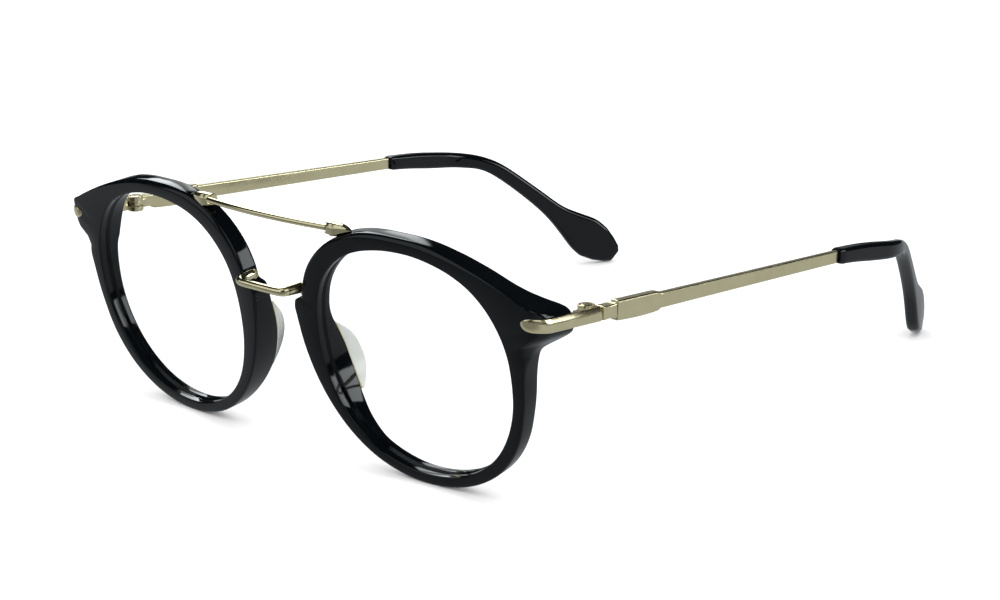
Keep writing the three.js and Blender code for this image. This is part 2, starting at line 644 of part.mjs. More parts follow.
// middle knuckle, its web, a waisted neck level with strip and box, and the spring's shank
function hingeSlider() {
  const webX = STRIP_INNER_X - 0.3;
  const webOutline = [
    [HINGE.x - 1.0, HINGE.y], [HINGE.x + 0.9, HINGE.y + 0.3],
    [webX, HINGE.y + 1.3], [webX, HINGE.y + 2.7],
    [HINGE.x - 0.4, HINGE.y + 2.7], [HINGE.x - 1.0, HINGE.y + 1.1],
  ].map((point) => new THREE.Vector2(...point));
  const web = new THREE.ExtrudeGeometry(new THREE.Shape(webOutline), {
    depth: 2 * MID_KNUCKLE_HALF, bevelEnabled: false,
  }).translate(0, 0, HINGE.z - MID_KNUCKLE_HALF);
  const knuckle = hingeDrum(-MID_KNUCKLE_HALF, MID_KNUCKLE_HALF, KNUCKLE_R - 0.05, 20);

  const innerX = STRIP_INNER_X - 1.35;
  const outerX = STRIP_OUTER_X - 0.04;
  // [y, half height, inset of the outer side]
  const neck = loft([
    [NECK_Y, 1.33, 0.0], [NECK_Y + 0.35, 1.36, 0.0], [NECK_Y + 1.7, 1.2, 0.03],
    [NECK_Y + 3.0, 1.28, 0.03], [BOX_Y0 - 0.12, 1.5, 0.0],
  ].map(([y, halfHigh, inset]) => {
    const centre = vec((innerX + outerX - inset) / 2, y, templeZ(y) + 0.1);
    return slab(centre, X_AXIS, Z_AXIS, (outerX - innerX - inset) / 2, halfHigh, 0.2);
  }));
  const shankStart = vec(BOX_MID_X, BOX_Y0 - 0.6, templeZ(BOX_Y0));
  const shank = rod([shankStart, onBox(NUT_Y1 + 0.25)], SHANK_R, 10);
  return cut(join(knuckle, web, neck, shank), screwHole());
}

function sliderNut() {
  const body = loft([NUT_Y0, NUT_Y1].map((y) => circle(onBox(y), X_AXIS, TEMPLE_UP, 0.7, 12)));
  return cut(body, rod([onBox(NUT_Y0 - 1), onBox(NUT_Y1 + 1)], SHANK_R + 0.06, 10));
}

class Helix extends THREE.Curve {
  getPoint(share, target = new THREE.Vector3()) {
    const angle = 2 * Math.PI * SPRING_TURNS * share;
    return target.copy(onBox(lerp(SPRING_Y0 + 0.2, SPRING_Y1 - 0.2, share)))
      .addScaledVector(X_AXIS, SPRING_MEAN_R * Math.cos(angle))
      .addScaledVector(TEMPLE_UP, SPRING_MEAN_R * Math.sin(angle));
  }
}

function hingeSpring() {
  const wire = Array.from({ length: 5 }, (_, i) => {
    const angle = (2 * Math.PI * i) / 5;
    return new THREE.Vector2(SPRING_WIRE_R * Math.cos(angle), SPRING_WIRE_R * Math.sin(angle));
  });
  return new THREE.ExtrudeGeometry(new THREE.Shape(wire), {
    steps: SPRING_TURNS * 9, extrudePath: new Helix(), bevelEnabled: false,
  });
}

function springBox() {
  // [y, inset of each side, half height]
  const body = loft([
    [BOX_Y0, 0.14, 1.84], [BOX_Y0 + 0.35, 0, BOX_HALF_H],
    [BOX_Y1 - 1.6, 0, BOX_HALF_H - 0.05], [BOX_Y1, 0.1, BOX_HALF_H - 0.22],
  ].map(([y, inset, halfHigh]) =>
    slab(onBox(y), X_AXIS, TEMPLE_UP, (BOX_X1 - BOX_X0) / 2 - inset, halfHigh, 0.25)));
  const shankHole = rod([onBox(BOX_Y0 - 1), onBox(SPRING_Y0)], 0.55, 12);
  const bore = rod([onBox(SPRING_Y0 - 0.2), onBox(BOX_Y1 - 1.0)], BORE_R, 12);
  return cut(body, shankHole, bore);
}

// ---------------------------------------------------------------- temple bar and tip
const BAR_Y0 = BOX_Y1;
const BAR_Y1 = 94.6;
const BAR_CONVERGE = 0.0157; // drift towards the head per millimetre
const CORE_LAST_Y = 143; // the core wire takes no tip station beyond this
const BEND_Y0 = 113;
const BEND_Y1 = 121;
const TIP_YAW = 0.47; // inward slope of the tip behind the bend
const TIP_HALF_THICK = 1.5;
// side outline of the tip: [upper edge y, z, lower edge y, z]
const TIP = [
  [95.0, 35.05, 95.0, 31.75], [101, 34.6, 101, 31.05], [107, 33.95, 107, 30.1],
  [113, 33.05, 113, 29.25], [117.5, 32.3, 117, 28.75], [121.5, 31.5, 120.5, 28.2],
  [125, 30.4, 123.5, 27.5], [129.2, 28.2, 127, 25.6], [134.3, 24.2, 131.5, 22.0],
  [139.4, 19.9, 136, 17.9], [143.7, 16.3, 139.5, 14.3], [147.3, 14.2, 142.2, 10.9],
  [150.3, 12.8, 144.3, 7.8], [152.9, 11.4, 146.2, 5.0], [155.2, 9.2, 148.4, 2.6],
  [157.0, 6.5, 151.5, 1.1], [158.2, 4.2, 154.2, 0.35], [158.35, 2.9, 156.2, 0.25],
];
// half thickness of the tip where it thins at its ends, by station
const TIP_END_HALF_THICK = { 0: 1.35, [TIP.length - 2]: 1.2, [TIP.length - 1]: 0.75 };

const barX = (y) => BOX_MID_X + 0.1 - BAR_CONVERGE * (y - BAR_Y0);

function templeBar() {
  // [y, half width, half height]
  return loft([
    [BAR_Y0 + 0.06, 0.62, 1.5], [BAR_Y0 + 0.5, 0.72, 1.52], [60, 0.7, 1.42],
    [BAR_Y1, 0.66, 1.32],
  ].map(([y, halfWide, halfHigh]) =>
    slab(vec(barX(y), y, templeZ(y)), X_AXIS, TEMPLE_UP, halfWide, halfHigh, 0.22)));
}

// middle surface of the tip: straight, then turning in towards the head behind the ear
function tipX(y) {
  const past = Math.max(0, y - BEND_Y0);
  const bend = BEND_Y1 - BEND_Y0;
  const turned = past < bend ? past ** 2 / (2 * bend) : past - bend / 2;
  return barX(y) - (TIP_YAW - BAR_CONVERGE) * turned;
}

function corePoints() {
  const startY = BAR_Y1 + 0.06;
  const stations = TIP.slice(1)
    .map(([topY, topZ, lowY, lowZ]) => [(topY + lowY) / 2, (topZ + lowZ) / 2])
    .filter(([y]) => y <= CORE_LAST_Y);
  return [
    vec(barX(BAR_Y1), startY, templeZ(startY)),
    ...stations.map(([y, z]) => vec(tipX(y), y, z)),
  ];
}

// the hole starts ahead of the tip and runs a little past the wire's end
function coreHole() {
  const points = corePoints();
  points[0].y -= 1;
  const [before, last] = points.slice(-2);
  points.push(last.clone().addScaledVector(last.clone().sub(before).normalize(), 0.4));
  return rod(points, 0.74, 10);
}

function templeTip() {
  const body = loft(TIP.map(([topY, topZ, lowY, lowZ], i) => {
    const midY = (topY + lowY) / 2;
    const slope = tipX(midY + 0.5) - tipX(midY - 0.5);
    const side = vec(1, -slope, 0).normalize();
    const top = vec(tipX(topY), topY, topZ);
    const low = vec(tipX(lowY), lowY, lowZ);
    const centre = top.clone().add(low).multiplyScalar(0.5);
    const up = top.clone().sub(low);
    const halfHigh = up.length() / 2;
    const thick = TIP_END_HALF_THICK[i] ?? TIP_HALF_THICK;
    return slab(centre, side, up.normalize(), thick, halfHigh, Math.min(0.6, thick * 0.5));
  }));
  return cut(body, coreHole());
}

// ---------------------------------------------------------------- the scene graph
function group(name) {
  const made = new THREE.Group();
  made.name = name;
  return made;
}
const eyeglasses = group('eyeglasses');
const front = group('front');
const templeLeft = group('temple_left_group');
const templeRight = group('temple_right_group');
eyeglasses.add(front, templeLeft, templeRight);

function addMesh(parent, name, geometry, makeMaterial) {
  const mesh = new THREE.Mesh(geometry, makeMaterial());
  mesh.name = name;
  parent.add(mesh);
}
function addPair([leftParent, rightParent], name, geometry, makeMaterial) {
  const left = weld(geometry);
  addMesh(leftParent, `${name}_left`, left, makeMaterial);
  addMesh(rightParent, `${name}_right`, mirrored(left), makeMaterial);
}
const frontPair = (...piece) => addPair([front, front], ...piece);
const templePair = (...piece) => addPair([templeLeft, templeRight], ...piece);

frontPair('rim', rimGeometry(), blackAcetate);
frontPair('lens', lensGeometry(), lensClear);
frontPair('nose_pad', padGeometry(), clearAcetate);
addMesh(front, 'brow_bar', weld(browBar()), gold);
frontPair('brow_lug', browLug(), gold);
frontPair('brow_pin', browPinRod(-0.02, -1.75, PIN_R, 8), steel);
addMesh(front, 'bridge_bar', weld(bridgeBar()), gold);
frontPair('bridge_pin', bridgePinRod([[0.16, 2.2], [1.7, 2.5]], PIN_R, 8), steel);
frontPair('endpiece_strip', stripLoft(stripStations(0)), gold);
frontPair('endpiece_screw', endpieceScrew(), steel);
frontPair('hinge_leaf', hingeLeaf(), gold);
frontPair('hinge_screw', hingeScrew(), gold);
templePair('hinge_slider', hingeSlider(), gold);
templePair('slider_nut', sliderNut(), steel);
templePair('hinge_spring', hingeSpring(), steel);
templePair('spring_box', springBox(), gold);
templePair('temple_bar', templeBar(), gold);
templePair('core_wire', rod(corePoints(), 0.6, 8), steel);
templePair('temple_tip', templeTip(), blackAcetate);

// stand it on z = 0 with the middle of its box over the origin
eyeglasses.updateMatrixWorld(true);
const box = new THREE.Box3().setFromObject(eyeglasses, true);
eyeglasses.position.set(0, -(box.min.y + box.max.y) / 2, -box.min.z);
eyeglasses.updateMatrixWorld(true);

export default eyeglasses;
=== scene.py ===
"""Spectacles: black acetate rims with clear lenses, a gold brow bar, bridge and sprung temples.

Shapes are modelled in millimetres in a design frame: +X is the wearer's left, +Y runs back along
the temples, +Z is up, and the front faces -Y. Left pieces are modelled and right ones mirrored.
The left rim has its own tilted frame: across (towards the temple), up, and back from its face.
Angles round it start at the temple side and pass over the top. A shape is a pair (verts, faces).
`piece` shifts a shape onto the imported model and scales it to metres.
"""

import math

import bpy
import numpy as np
from mathutils import Matrix, Vector


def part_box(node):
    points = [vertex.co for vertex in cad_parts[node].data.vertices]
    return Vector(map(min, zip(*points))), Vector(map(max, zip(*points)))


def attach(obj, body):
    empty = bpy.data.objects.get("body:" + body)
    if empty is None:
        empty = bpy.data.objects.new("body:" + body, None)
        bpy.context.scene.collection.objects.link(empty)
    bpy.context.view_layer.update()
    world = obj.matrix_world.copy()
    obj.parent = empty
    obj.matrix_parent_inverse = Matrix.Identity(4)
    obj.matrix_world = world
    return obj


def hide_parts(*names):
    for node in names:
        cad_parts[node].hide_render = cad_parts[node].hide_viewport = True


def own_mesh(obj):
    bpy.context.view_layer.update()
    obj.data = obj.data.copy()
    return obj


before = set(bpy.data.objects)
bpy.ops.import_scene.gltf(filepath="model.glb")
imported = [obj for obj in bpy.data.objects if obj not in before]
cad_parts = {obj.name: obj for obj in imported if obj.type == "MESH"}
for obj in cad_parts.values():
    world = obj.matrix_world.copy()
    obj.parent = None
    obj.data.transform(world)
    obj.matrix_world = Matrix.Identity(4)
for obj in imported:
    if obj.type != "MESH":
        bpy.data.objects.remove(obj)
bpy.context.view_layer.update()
scene = bpy.context.scene

# ---------------------------------------------------------------- driving dimensions, millimetres
MM = 0.001                                   # in metres
MM_PER_M = 1000
HALF_PITCH, LENS_Z = 35.0, 26.28             # centre of the left lens
WRAP, TILT = math.radians(4.025), math.radians(-9.633)
GROOVE_BACK = 2.0                            # lens groove, back from the rim's face
HINGE_X, HINGE_Y, HINGE_Z = 64.75, 16.1, 38.0
KNUCKLE_RADIUS, KNUCKLE_HALF = 1.4, 1.65
SCREW_BELOW = 0.05                           # hinge screw below the knuckles
TEMPLE_Y0, TEMPLE_Z0, TEMPLE_DROP = 13, 38.05, 0.057   # the drop is per mm back
STRIP_END, NECK_Y = 17.6, 18.05
BOX_Y0, BOX_Y1, BOX_X0, BOX_X1 = 22.1, 34.8, 65.4, 67.5
BOX_LENGTH = BOX_Y1 - BOX_Y0
BOX_X = (BOX_X0 + BOX_X1) / 2
BAR_Y0, BAR_Y1 = BOX_Y1, 94.6
BAR_TOE_IN = 0.0157                          # per mm back
STRIP_UP, CORNER_ACROSS = 12.35, 32.45       # in the rim frame

# ---------------------------------------------------------------- measured tables
# angle, radius of the rim's front outer edge
FRONT_BEVEL = [
    [0, .42], [8, .8], [13, 3.1], [17, 3.3], [23.5, 3.3], [25.2, 2.4], [27, .9], [30, .55],
    [38, .5], [52, .85], [66, 1.15], [95, 1.2], [122, 1.1], [145, .7], [165, .5], [180, .48],
    [270, .48]]
# angle, radius of the lens opening
LIP = [
    [0, 23.9], [15, 24.15], [30, 24.1], [45, 23.75], [60, 22.85], [75, 22.15], [90, 21.95],
    [105, 22.35], [120, 23.35], [135, 24.2], [150, 24.5], [165, 24.0], [180, 23.6], [195, 23.7],
    [210, 24.1], [225, 24.4], [240, 24.45], [255, 24.35], [270, 24.35], [285, 24.5],
    [300, 24.75], [315, 24.75], [330, 24.45], [345, 24.15]]
# across, up: the rim's outer outline
OUTLINE = [
    [27.0, 0], [27.55, 3], [28.35, 5.7], [29.6, 7.8], [31.0, 9.0], [32.0, 9.8], [32.4, 11.0],
    [32.45, 12.5], [32.4, 14.1], [32.0, 14.8], [31.0, 15.4], [28.5, 16.4], [24.0, 18.45],
    [20.0, 20.2], [15.0, 22.0], [10.5, 23.35], [5, 24.45], [0, 24.8], [-5.1, 24.9],
    [-9.7, 24.5], [-14.4, 23.2], [-18.5, 21.2], [-22.0, 18.4], [-24.7, 15.0], [-26.3, 11.4],
    [-26.9, 8.35], [-28.9, 7.7], [-29.2, 6.5], [-28.8, 3.0], [-28.3, -1.0], [-27.3, -4.8],
    [-26.2, -8.0], [-23.4, -13.5], [-19.0, -19.0], [-13.4, -23.2], [-6.9, -25.7], [0, -26.6],
    [6.9, -25.9], [13.6, -23.5], [19.4, -19.4], [23.6, -13.7], [25.9, -6.9]]
# angle, depth of the rim at its outer edge
DEPTH_OUT = [
    [0, 4.7], [8, 4.9], [12.5, 5.2], [14.2, 6.3], [15.2, 8.6], [16.2, 10.2], [17, 10.8],
    [19, 10.9], [23, 10.5], [25.5, 10.0], [27.5, 9.4], [29.5, 8.5], [33, 6.9], [38, 6.1],
    [46, 5.6], [54, 5.1], [66, 4.5], [90, 4.2], [164, 4.25], [172, 4.6], [180, 5.3], [190, 5.9],
    [202, 6.0], [212, 5.5], [224, 4.7], [238, 4.2], [330, 4.2], [347, 4.4]]
# angle, depth of the rim at the lens opening
DEPTH_IN = [
    [0, 4.6], [8, 4.9], [15, 5.3], [24, 5.7], [32, 5.7], [42, 5.3], [52, 4.9], [65, 4.4],
    [90, 4.15], [164, 4.2], [172, 4.7], [178, 5.7], [184, 6.6], [191, 7.2], [200, 7.3],
    [208, 7.0], [216, 6.3], [226, 5.2], [240, 4.25], [330, 4.15], [347, 4.3]]
# The outer edge sinks by FALL per mm of depth, times the share [angle, share].
FALL = 0.226
FALL_SHARE = [
    [0, 0], [9, 0.1], [13, 0.6], [15, 1], [38, 1], [50, 0.6], [62, 0.15], [74, 0], [90, 0],
    [180, 0], [270, 0], [350, 0]]
# nose pad from the top down: up at the lens opening, up at the outer edge, height off the rim
PAD_ROWS = [
    [1.0, 2.8, 0.45], [0.0, 1.6, 1.2], [-1.4, -0.1, 2.2], [-3.0, -2.2, 2.9], [-5.0, -4.5, 3.3],
    [-7.2, -6.9, 3.4], [-9.4, -9.2, 3.0], [-11.4, -11.3, 2.0], [-13.0, -12.9, 0.6]]
# foot of the brow bar: x, half thickness, top z
BROW_LUG = [
    [16.5, 1.14, 51.1], [16.62, 1.22, 51.2], [16.85, 1.26, 51.26], [17.3, 1.28, 51.3],
    [19.0, 1.28, 51.32], [20.6, 1.08, 51.2], [21.8, 0.72, 50.86], [22.6, 0.36, 50.44],
    [22.95, 0.12, 50.2]]
# left half of the bridge: x, y, z, radius
BRIDGE = [
    [0, -6.4, 35.55, .84], [3, -6.36, 35.55, .84], [5.2, -6.28, 35.58, .86],
    [5.95, -6.12, 35.64, .92], [6.38, -5.86, 35.72, .97], [6.64, -5.45, 35.8, 1.0],
    [6.8, -4.8, 35.87, 1.02], [6.92, -4.1, 35.93, 1.06], [7.04, -3.1, 36.0, 1.12],
    [7.16, -2.3, 36.05, 1.15]]
# bridge foot on the rim's flank: up, back
BRIDGE_FOOT = [
    (10.8, 2.5), (10.25, 1.2), (9.5, 0.45), (8.6, 0.6), (8.4, 2.7), (8.8, 3.45), (9.85, 3.45)]
# neck of the slider: y, half height, how far the outer side is cut in
NECK = [
    [NECK_Y, 1.22, 0.12], [NECK_Y + 0.08, 1.32, 0.03], [NECK_Y + 0.3, 1.38, 0.0],
    [NECK_Y + 0.9, 1.34, 0.03], [NECK_Y + 1.7, 1.28, 0.06], [NECK_Y + 2.4, 1.28, 0.06],
    [NECK_Y + 3.2, 1.34, 0.04], [BOX_Y0 - 0.3, 1.44, 0.0], [BOX_Y0 - 0.1, 1.5, 0.0]]
# temple bar: y, half width, half height
BAR = [[BAR_Y0, 0.66, 1.5], [BAR_Y0 + 0.5, 0.72, 1.53], [60, 0.70, 1.43], [BAR_Y1, 0.66, 1.33]]
# ear tip: top y, top z, bottom y, bottom z
TIP = [
    [95.0, 35.05, 95.0, 31.75], [101, 34.6, 101, 31.05], [107, 33.95, 107, 30.1],
    [113, 33.05, 113, 29.25], [117.5, 32.3, 117, 28.75], [121.5, 31.5, 120.5, 28.2],
    [125, 30.4, 123.5, 27.5], [129.2, 28.2, 127, 25.6], [134.3, 24.2, 131.5, 22.0],
    [139.4, 19.9, 136, 17.9], [143.7, 16.3, 139.5, 14.3], [147.3, 14.2, 142.2, 10.9],
    [150.3, 12.8, 144.3, 7.8], [152.9, 11.4, 146.2, 5.0], [155.2, 9.2, 148.4, 2.6],
    [157.0, 6.5, 151.5, 1.1], [158.2, 4.2, 154.2, 0.35], [158.35, 2.9, 156.2, 0.25]]

# ---------------------------------------------------------------- frames
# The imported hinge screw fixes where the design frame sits.
screw_low, screw_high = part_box("hinge_screw_left")
DESIGN_OFFSET = np.array([
    0.0,
    (screw_low.y + screw_high.y) * MM_PER_M / 2 - HINGE_Y,
    screw_low.z * MM_PER_M - (HINGE_Z - KNUCKLE_HALF - SCREW_BELOW)])

RIM_ACROSS = np.array([
    math.cos(WRAP), math.sin(WRAP) * math.cos(TILT), -math.sin(WRAP) * math.sin(TILT)])
RIM_UP = np.array([0.0, math.sin(TILT), math.cos(TILT)])
RIM_BACK = np.array([
    -math.sin(WRAP), math.cos(WRAP) * math.cos(TILT), -math.cos(WRAP) * math.sin(TILT)])
RIM_CENTRE = np.array([HALF_PITCH, 0.0, LENS_Z])


def on_rim(across, up, back):
    return RIM_CENTRE + RIM_ACROSS * across + RIM_UP * up + RIM_BACK * back


def rim_polar(angle, radius, back):
    turn = math.radians(angle)
    return on_rim(radius * math.cos(turn), radius * math.sin(turn), back)


def temple_z(y):
    return TEMPLE_Z0 - TEMPLE_DROP * (y - TEMPLE_Y0)


# ---------------------------------------------------------------- curves
STEP = 0.25
GRID = np.arange(0, 360, STEP)


def closed_curve(table):
    """Periodic cubic through [angle, value] rows that doesn't overshoot them."""
    rows = sorted(table)
    count = len(rows)

    def angle(i):
        return rows[i % count][0] + 360 * (i // count)

    def value(i):
        return rows[i % count][1]

    def slope(i):
        return (value(i + 1) - value(i)) / (angle(i + 1) - angle(i))

    def tangent(i):
        before, after = slope(i - 1), slope(i)
        return 0 if before * after <= 0 else 2 * before * after / (before + after)

    def at(degrees):
        i = -1
        while i + 1 < count and angle(i + 1) <= degrees:
            i += 1
        span = angle(i + 1) - angle(i)
        part = (degrees - angle(i)) / span
        return (value(i) * (1 + 2 * part) * (1 - part) ** 2
                + tangent(i) * span * part * (1 - part) ** 2
                + value(i + 1) * part * part * (3 - 2 * part)
                + tangent(i + 1) * span * part * part * (part - 1))
    return at


def gauss(values, sigma):
    """Blur values given on GRID; sigma is in degrees."""
    reach = int(round(4 * sigma / STEP))
    weights = np.exp(-0.5 * (np.arange(-reach, reach + 1) * STEP / sigma) ** 2)
    weights /= weights.sum()
    padded = np.concatenate([values[-reach:], values, values[:reach]])
    return np.convolve(padded, weights, mode="valid")


def corner_weight(centre, half, soft):
    """1 on GRID within `half` degrees of the centre, easing to 0 over `soft` more."""
    distance = np.abs((GRID - centre + 180) % 360 - 180)
    part = np.clip((half + soft - distance) / soft, 0, 1)
    return part * part * (3 - 2 * part)


def smooth_table(table, broad, corners=(), fine=0.5):
    """Blurred closed curve of a table, with the finer blur near each (centre, half, soft)."""
    curve = closed_curve(table)
    raw = np.array([curve(angle) for angle in GRID])
    soft, crisp = gauss(raw, broad), gauss(raw, fine)
    weight = np.zeros_like(GRID)
    for corner in corners:
        weight = np.maximum(weight, corner_weight(*corner))
    values = soft * (1 - weight) + crisp * weight
    values = np.concatenate([values, values[:1]])
    angles = np.append(GRID, 360.0)
    return lambda angle: float(np.interp(angle % 360, angles, values))


def spline(knots, values, wanted):
    """Natural cubic spline."""
    x, y = np.array(knots, float), np.array(values, float)
    count = len(x)
    gap = np.diff(x)
    matrix = np.zeros((count, count))
    target = np.zeros(count)
    matrix[0, 0] = matrix[-1, -1] = 1
    for i in range(1, count - 1):
        matrix[i, i - 1:i + 2] = gap[i - 1], 2 * (gap[i - 1] + gap[i]), gap[i]
        target[i] = 6 * ((y[i + 1] - y[i]) / gap[i] - (y[i] - y[i - 1]) / gap[i - 1])
    bend = np.linalg.solve(matrix, target)
    i = np.clip(np.searchsorted(x, wanted) - 1, 0, count - 2)
    before, after = (x[i + 1] - wanted) / gap[i], (wanted - x[i]) / gap[i]
    curved = (before ** 3 - before) * bend[i] + (after ** 3 - after) * bend[i + 1]
    return before * y[i] + after * y[i + 1] + curved * gap[i] ** 2 / 6


OUTLINE_POLAR = [[math.degrees(math.atan2(up, across)) % 360, math.hypot(across, up)]
                 for across, up in OUTLINE]
outer_radius = smooth_table(OUTLINE_POLAR, 3.0, [(19.5, 8, 8), (163.5, 4.5, 5)])
inner_radius = smooth_table(LIP, 3.5)
outer_depth = smooth_table(DEPTH_OUT, 2.2, [(18, 6, 6)])
inner_depth = smooth_table(DEPTH_IN, 2.2)
front_bevel = smooth_table(FRONT_BEVEL, 1.6, [(24.5, 3.5, 3)])
fall_share = smooth_table(FALL_SHARE, 2.0, [(15, 4, 5)], fine=0.8)


# ---------------------------------------------------------------- shapes
BLOCK_FACES = [(0, 1, 3, 2), (4, 6, 7, 5), (0, 4, 5, 1), (2, 3, 7, 6), (0, 2, 6, 4), (1, 5, 7, 3)]


def fillet(points, radii, seg):
    """Closed 2D outline with rounded corners: seg + 1 points for each corner."""
    points = np.array(points, float)
    count = len(points)
    pull = 0.5523    # Bezier handle of a quarter circle
    outline = []
    for i in range(count):
        before, corner, after = points[i - 1], points[i], points[(i + 1) % count]
        to_before, to_after = before - corner, after - corner
        len_before, len_after = np.linalg.norm(to_before), np.linalg.norm(to_after)
        to_before = to_before / max(len_before, 1e-9)
        to_after = to_after / max(len_after, 1e-9)
        half = math.acos(float(np.clip(to_before @ to_after, -1, 1))) / 2
        cut = min(radii[i] / max(math.tan(half), 1e-3), 0.47 * len_before, 0.47 * len_after)
        start, end = corner + to_before * cut, corner + to_after * cut
        handle_a, handle_b = start + (corner - start) * pull, end + (corner - end) * pull
        for j in range(seg + 1):
            t = j / seg
            outline.append((1 - t) ** 3 * start + 3 * t * (1 - t) ** 2 * handle_a
                           + 3 * t * t * (1 - t) * handle_b + t ** 3 * end)
    return np.array(outline)


def rounded_box(half_width, above, below, radius, seg):
    return fillet([(half_width, above), (-half_width, above),
                   (-half_width, -below), (half_width, -below)], [radius] * 4, seg)


def orient(verts, faces):
    """Turn all faces outwards if the signed volume is negative."""
    verts = np.array(verts, float)
    centre = verts.mean(0)
    volume = 0.0
    for face in faces:
        corner = verts[list(face)] - centre
        for i in range(1, len(face) - 1):
            volume += float(np.dot(corner[0], np.cross(corner[i], corner[i + 1])))
    if volume < 0:
        faces = [tuple(reversed(face)) for face in faces]
    return verts, faces


def loft(rings, closed=False):
    """Skin over equal rings; an open run gets a fan at each end."""
    rings = [np.array(ring, float) for ring in rings]
    size, count = len(rings[0]), len(rings)
    verts = np.concatenate(rings)
    faces = []
    for i in range(count if closed else count - 1):
        here, there = i * size, (i + 1) % count * size
        for j in range(size):
            k = (j + 1) % size
            faces.append((here + j, there + j, there + k, here + k))
    if not closed:
        for base, first in ((0, True), ((count - 1) * size, False)):
            centre = len(verts)
            verts = np.vstack([verts, verts[base:base + size].mean(0)])
            for j in range(size):
                a, b = base + j, base + (j + 1) % size
                faces.append((a, b, centre) if first else (b, a, centre))
    return orient(verts, faces)


def frames_along(path):
    """Tangent and two side vectors at each point, turned as little as possible."""
    tangents = np.gradient(path, axis=0)
    tangents /= np.linalg.norm(tangents, axis=1)[:, None]
    level = abs(tangents[0][2]) < 0.9
    side = np.cross(tangents[0], np.array([0, 0, 1.0]) if level else np.array([0, 1.0, 0]))
    side /= np.linalg.norm(side)
    frames = []
    for tangent in tangents:
        side = side - tangent * (side @ tangent)
        side /= np.linalg.norm(side)
        frames.append((tangent, side, np.cross(tangent, side)))
    return frames


def sweep(path, radii, seg, round_ends=0.0):
    """Round rod along a path; round_ends is the height of its end domes over their radius."""
    path = np.array(path, float)
    radii = np.full(len(path), radii) if np.isscalar(radii) else np.array(radii, float)
    frames = frames_along(path)
    turns = np.linspace(0, 2 * math.pi, seg, endpoint=False)

    def circle(i, centre, radius):
        _, side, rise = frames[i]
        return [centre + (side * math.cos(turn) + rise * math.sin(turn)) * radius
                for turn in turns]

    def dome(i, sign):
        rings = []
        for k in (1, 2, 3, 4):
            lean = k / 4.6 * math.pi / 2
            reach = frames[i][0] * sign * radii[i] * math.sin(lean) * round_ends
            rings.append(circle(i, path[i] + reach, radii[i] * math.cos(lean)))
        return rings

    rings = [circle(i, path[i], radii[i]) for i in range(len(path))]
    if round_ends > 0:
        rings = dome(0, -1)[::-1] + rings + dome(-1, 1)
    return loft(rings)


def turned(profile, seg):
    """Solid of (radius, z) rows turned about the hinge axis."""
    turns = np.linspace(0, 2 * math.pi, seg, endpoint=False)
    return loft([[(HINGE_X + radius * math.cos(turn), HINGE_Y + radius * math.sin(turn), z)
                  for turn in turns] for radius, z in profile])


def drum(low, high, radius, seg=64, edge=0.12):
    """Cylinder on the hinge axis with eased edges; heights are from the hinge centre."""
    z0, z1 = HINGE_Z + low, HINGE_Z + high
    return turned([(radius - edge, z0), (radius - edge * 0.3, z0 + edge * 0.3),
                   (radius, z0 + edge), (radius, z1 - edge),
                   (radius - edge * 0.3, z1 - edge * 0.3), (radius - edge, z1)], seg)


def bore(low, high, radius):
    """Cutter on the hinge axis."""
    return drum(low, high, radius, seg=48, edge=0.02)


def block(xs, ys, zs):
    return orient([(x, y, z) for x in xs for y in ys for z in zs], BLOCK_FACES)


def hinge_block(xs, ys, zs):
    """Block with its y and z measured from the hinge centre."""
    return block(xs, [HINGE_Y + y for y in ys], [HINGE_Z + z for z in zs])


def prism(points, z0, z1):
    count = len(points)
    verts = [(x, y, z) for z in (z0, z1) for x, y in points]
    faces = [tuple(range(count)), tuple(range(2 * count - 1, count - 1, -1))]
    for i in range(count):
        k = (i + 1) % count
        faces.append((i, i + count, k + count, k))
    return orient(verts, faces)


def mirrored(shape):
    verts, faces = shape
    return verts * np.array([-1.0, 1, 1]), [tuple(reversed(face)) for face in faces]


# ---------------------------------------------------------------- objects
def make_object(name, shape):
    mesh = bpy.data.meshes.new(name)
    mesh.from_pydata([tuple(map(float, vert)) for vert in shape[0]], [],
                     [tuple(map(int, face)) for face in shape[1]])
    mesh.update()
    made = bpy.data.objects.new(name, mesh)
    scene.collection.objects.link(made)
    return made


def combined(base, joined=(), cut=(), voxel=None):
    """Base with shapes joined, then cut away; a voxel size also gives one softened skin."""
    target = make_object("tmp", base)
    used = [target]
    for operation, tools in (("UNION", joined), ("DIFFERENCE", cut)):
        for tool in tools:
            used.append(make_object("tmp", tool))
            modifier = target.modifiers.new("boolean", "BOOLEAN")
            modifier.operation = operation
            modifier.object = used[-1]
            modifier.solver = "EXACT"
    if voxel:
        remesh = target.modifiers.new("remesh", "REMESH")
        remesh.mode = "VOXEL"
        remesh.voxel_size = voxel
        smooth = target.modifiers.new("smooth", "SMOOTH")
        smooth.factor = 0.5
        smooth.iterations = 3
    bpy.context.view_layer.update()
    graph = bpy.context.evaluated_depsgraph_get()
    mesh = bpy.data.meshes.new_from_object(target.evaluated_get(graph))
    verts = np.zeros(len(mesh.vertices) * 3)
    mesh.vertices.foreach_get("co", verts)
    faces = [tuple(polygon.vertices) for polygon in mesh.polygons]
    bpy.data.meshes.remove(mesh)
    for item in used:
        mesh = item.data
        bpy.data.objects.remove(item)
        bpy.data.meshes.remove(mesh)
    return verts.reshape(-1, 3), faces


def piece(name, shape, finish, body, node=None, sharp=34.0):
    """Finished object riding on a body; finish is (material, slot), of which the slot is not
    used; node what it replaces.
    """
    material, slot = finish
    made = make_object(name, ((shape[0] + DESIGN_OFFSET) * MM, shape[1]))
    mesh = made.data
    mesh.validate()
    mesh.update()
    mesh.shade_smooth()
    mesh.set_sharp_from_angle(angle=math.radians(sharp))
    mesh.materials.append(material)
    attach(made, body)
    if node:
        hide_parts(node)
    return made


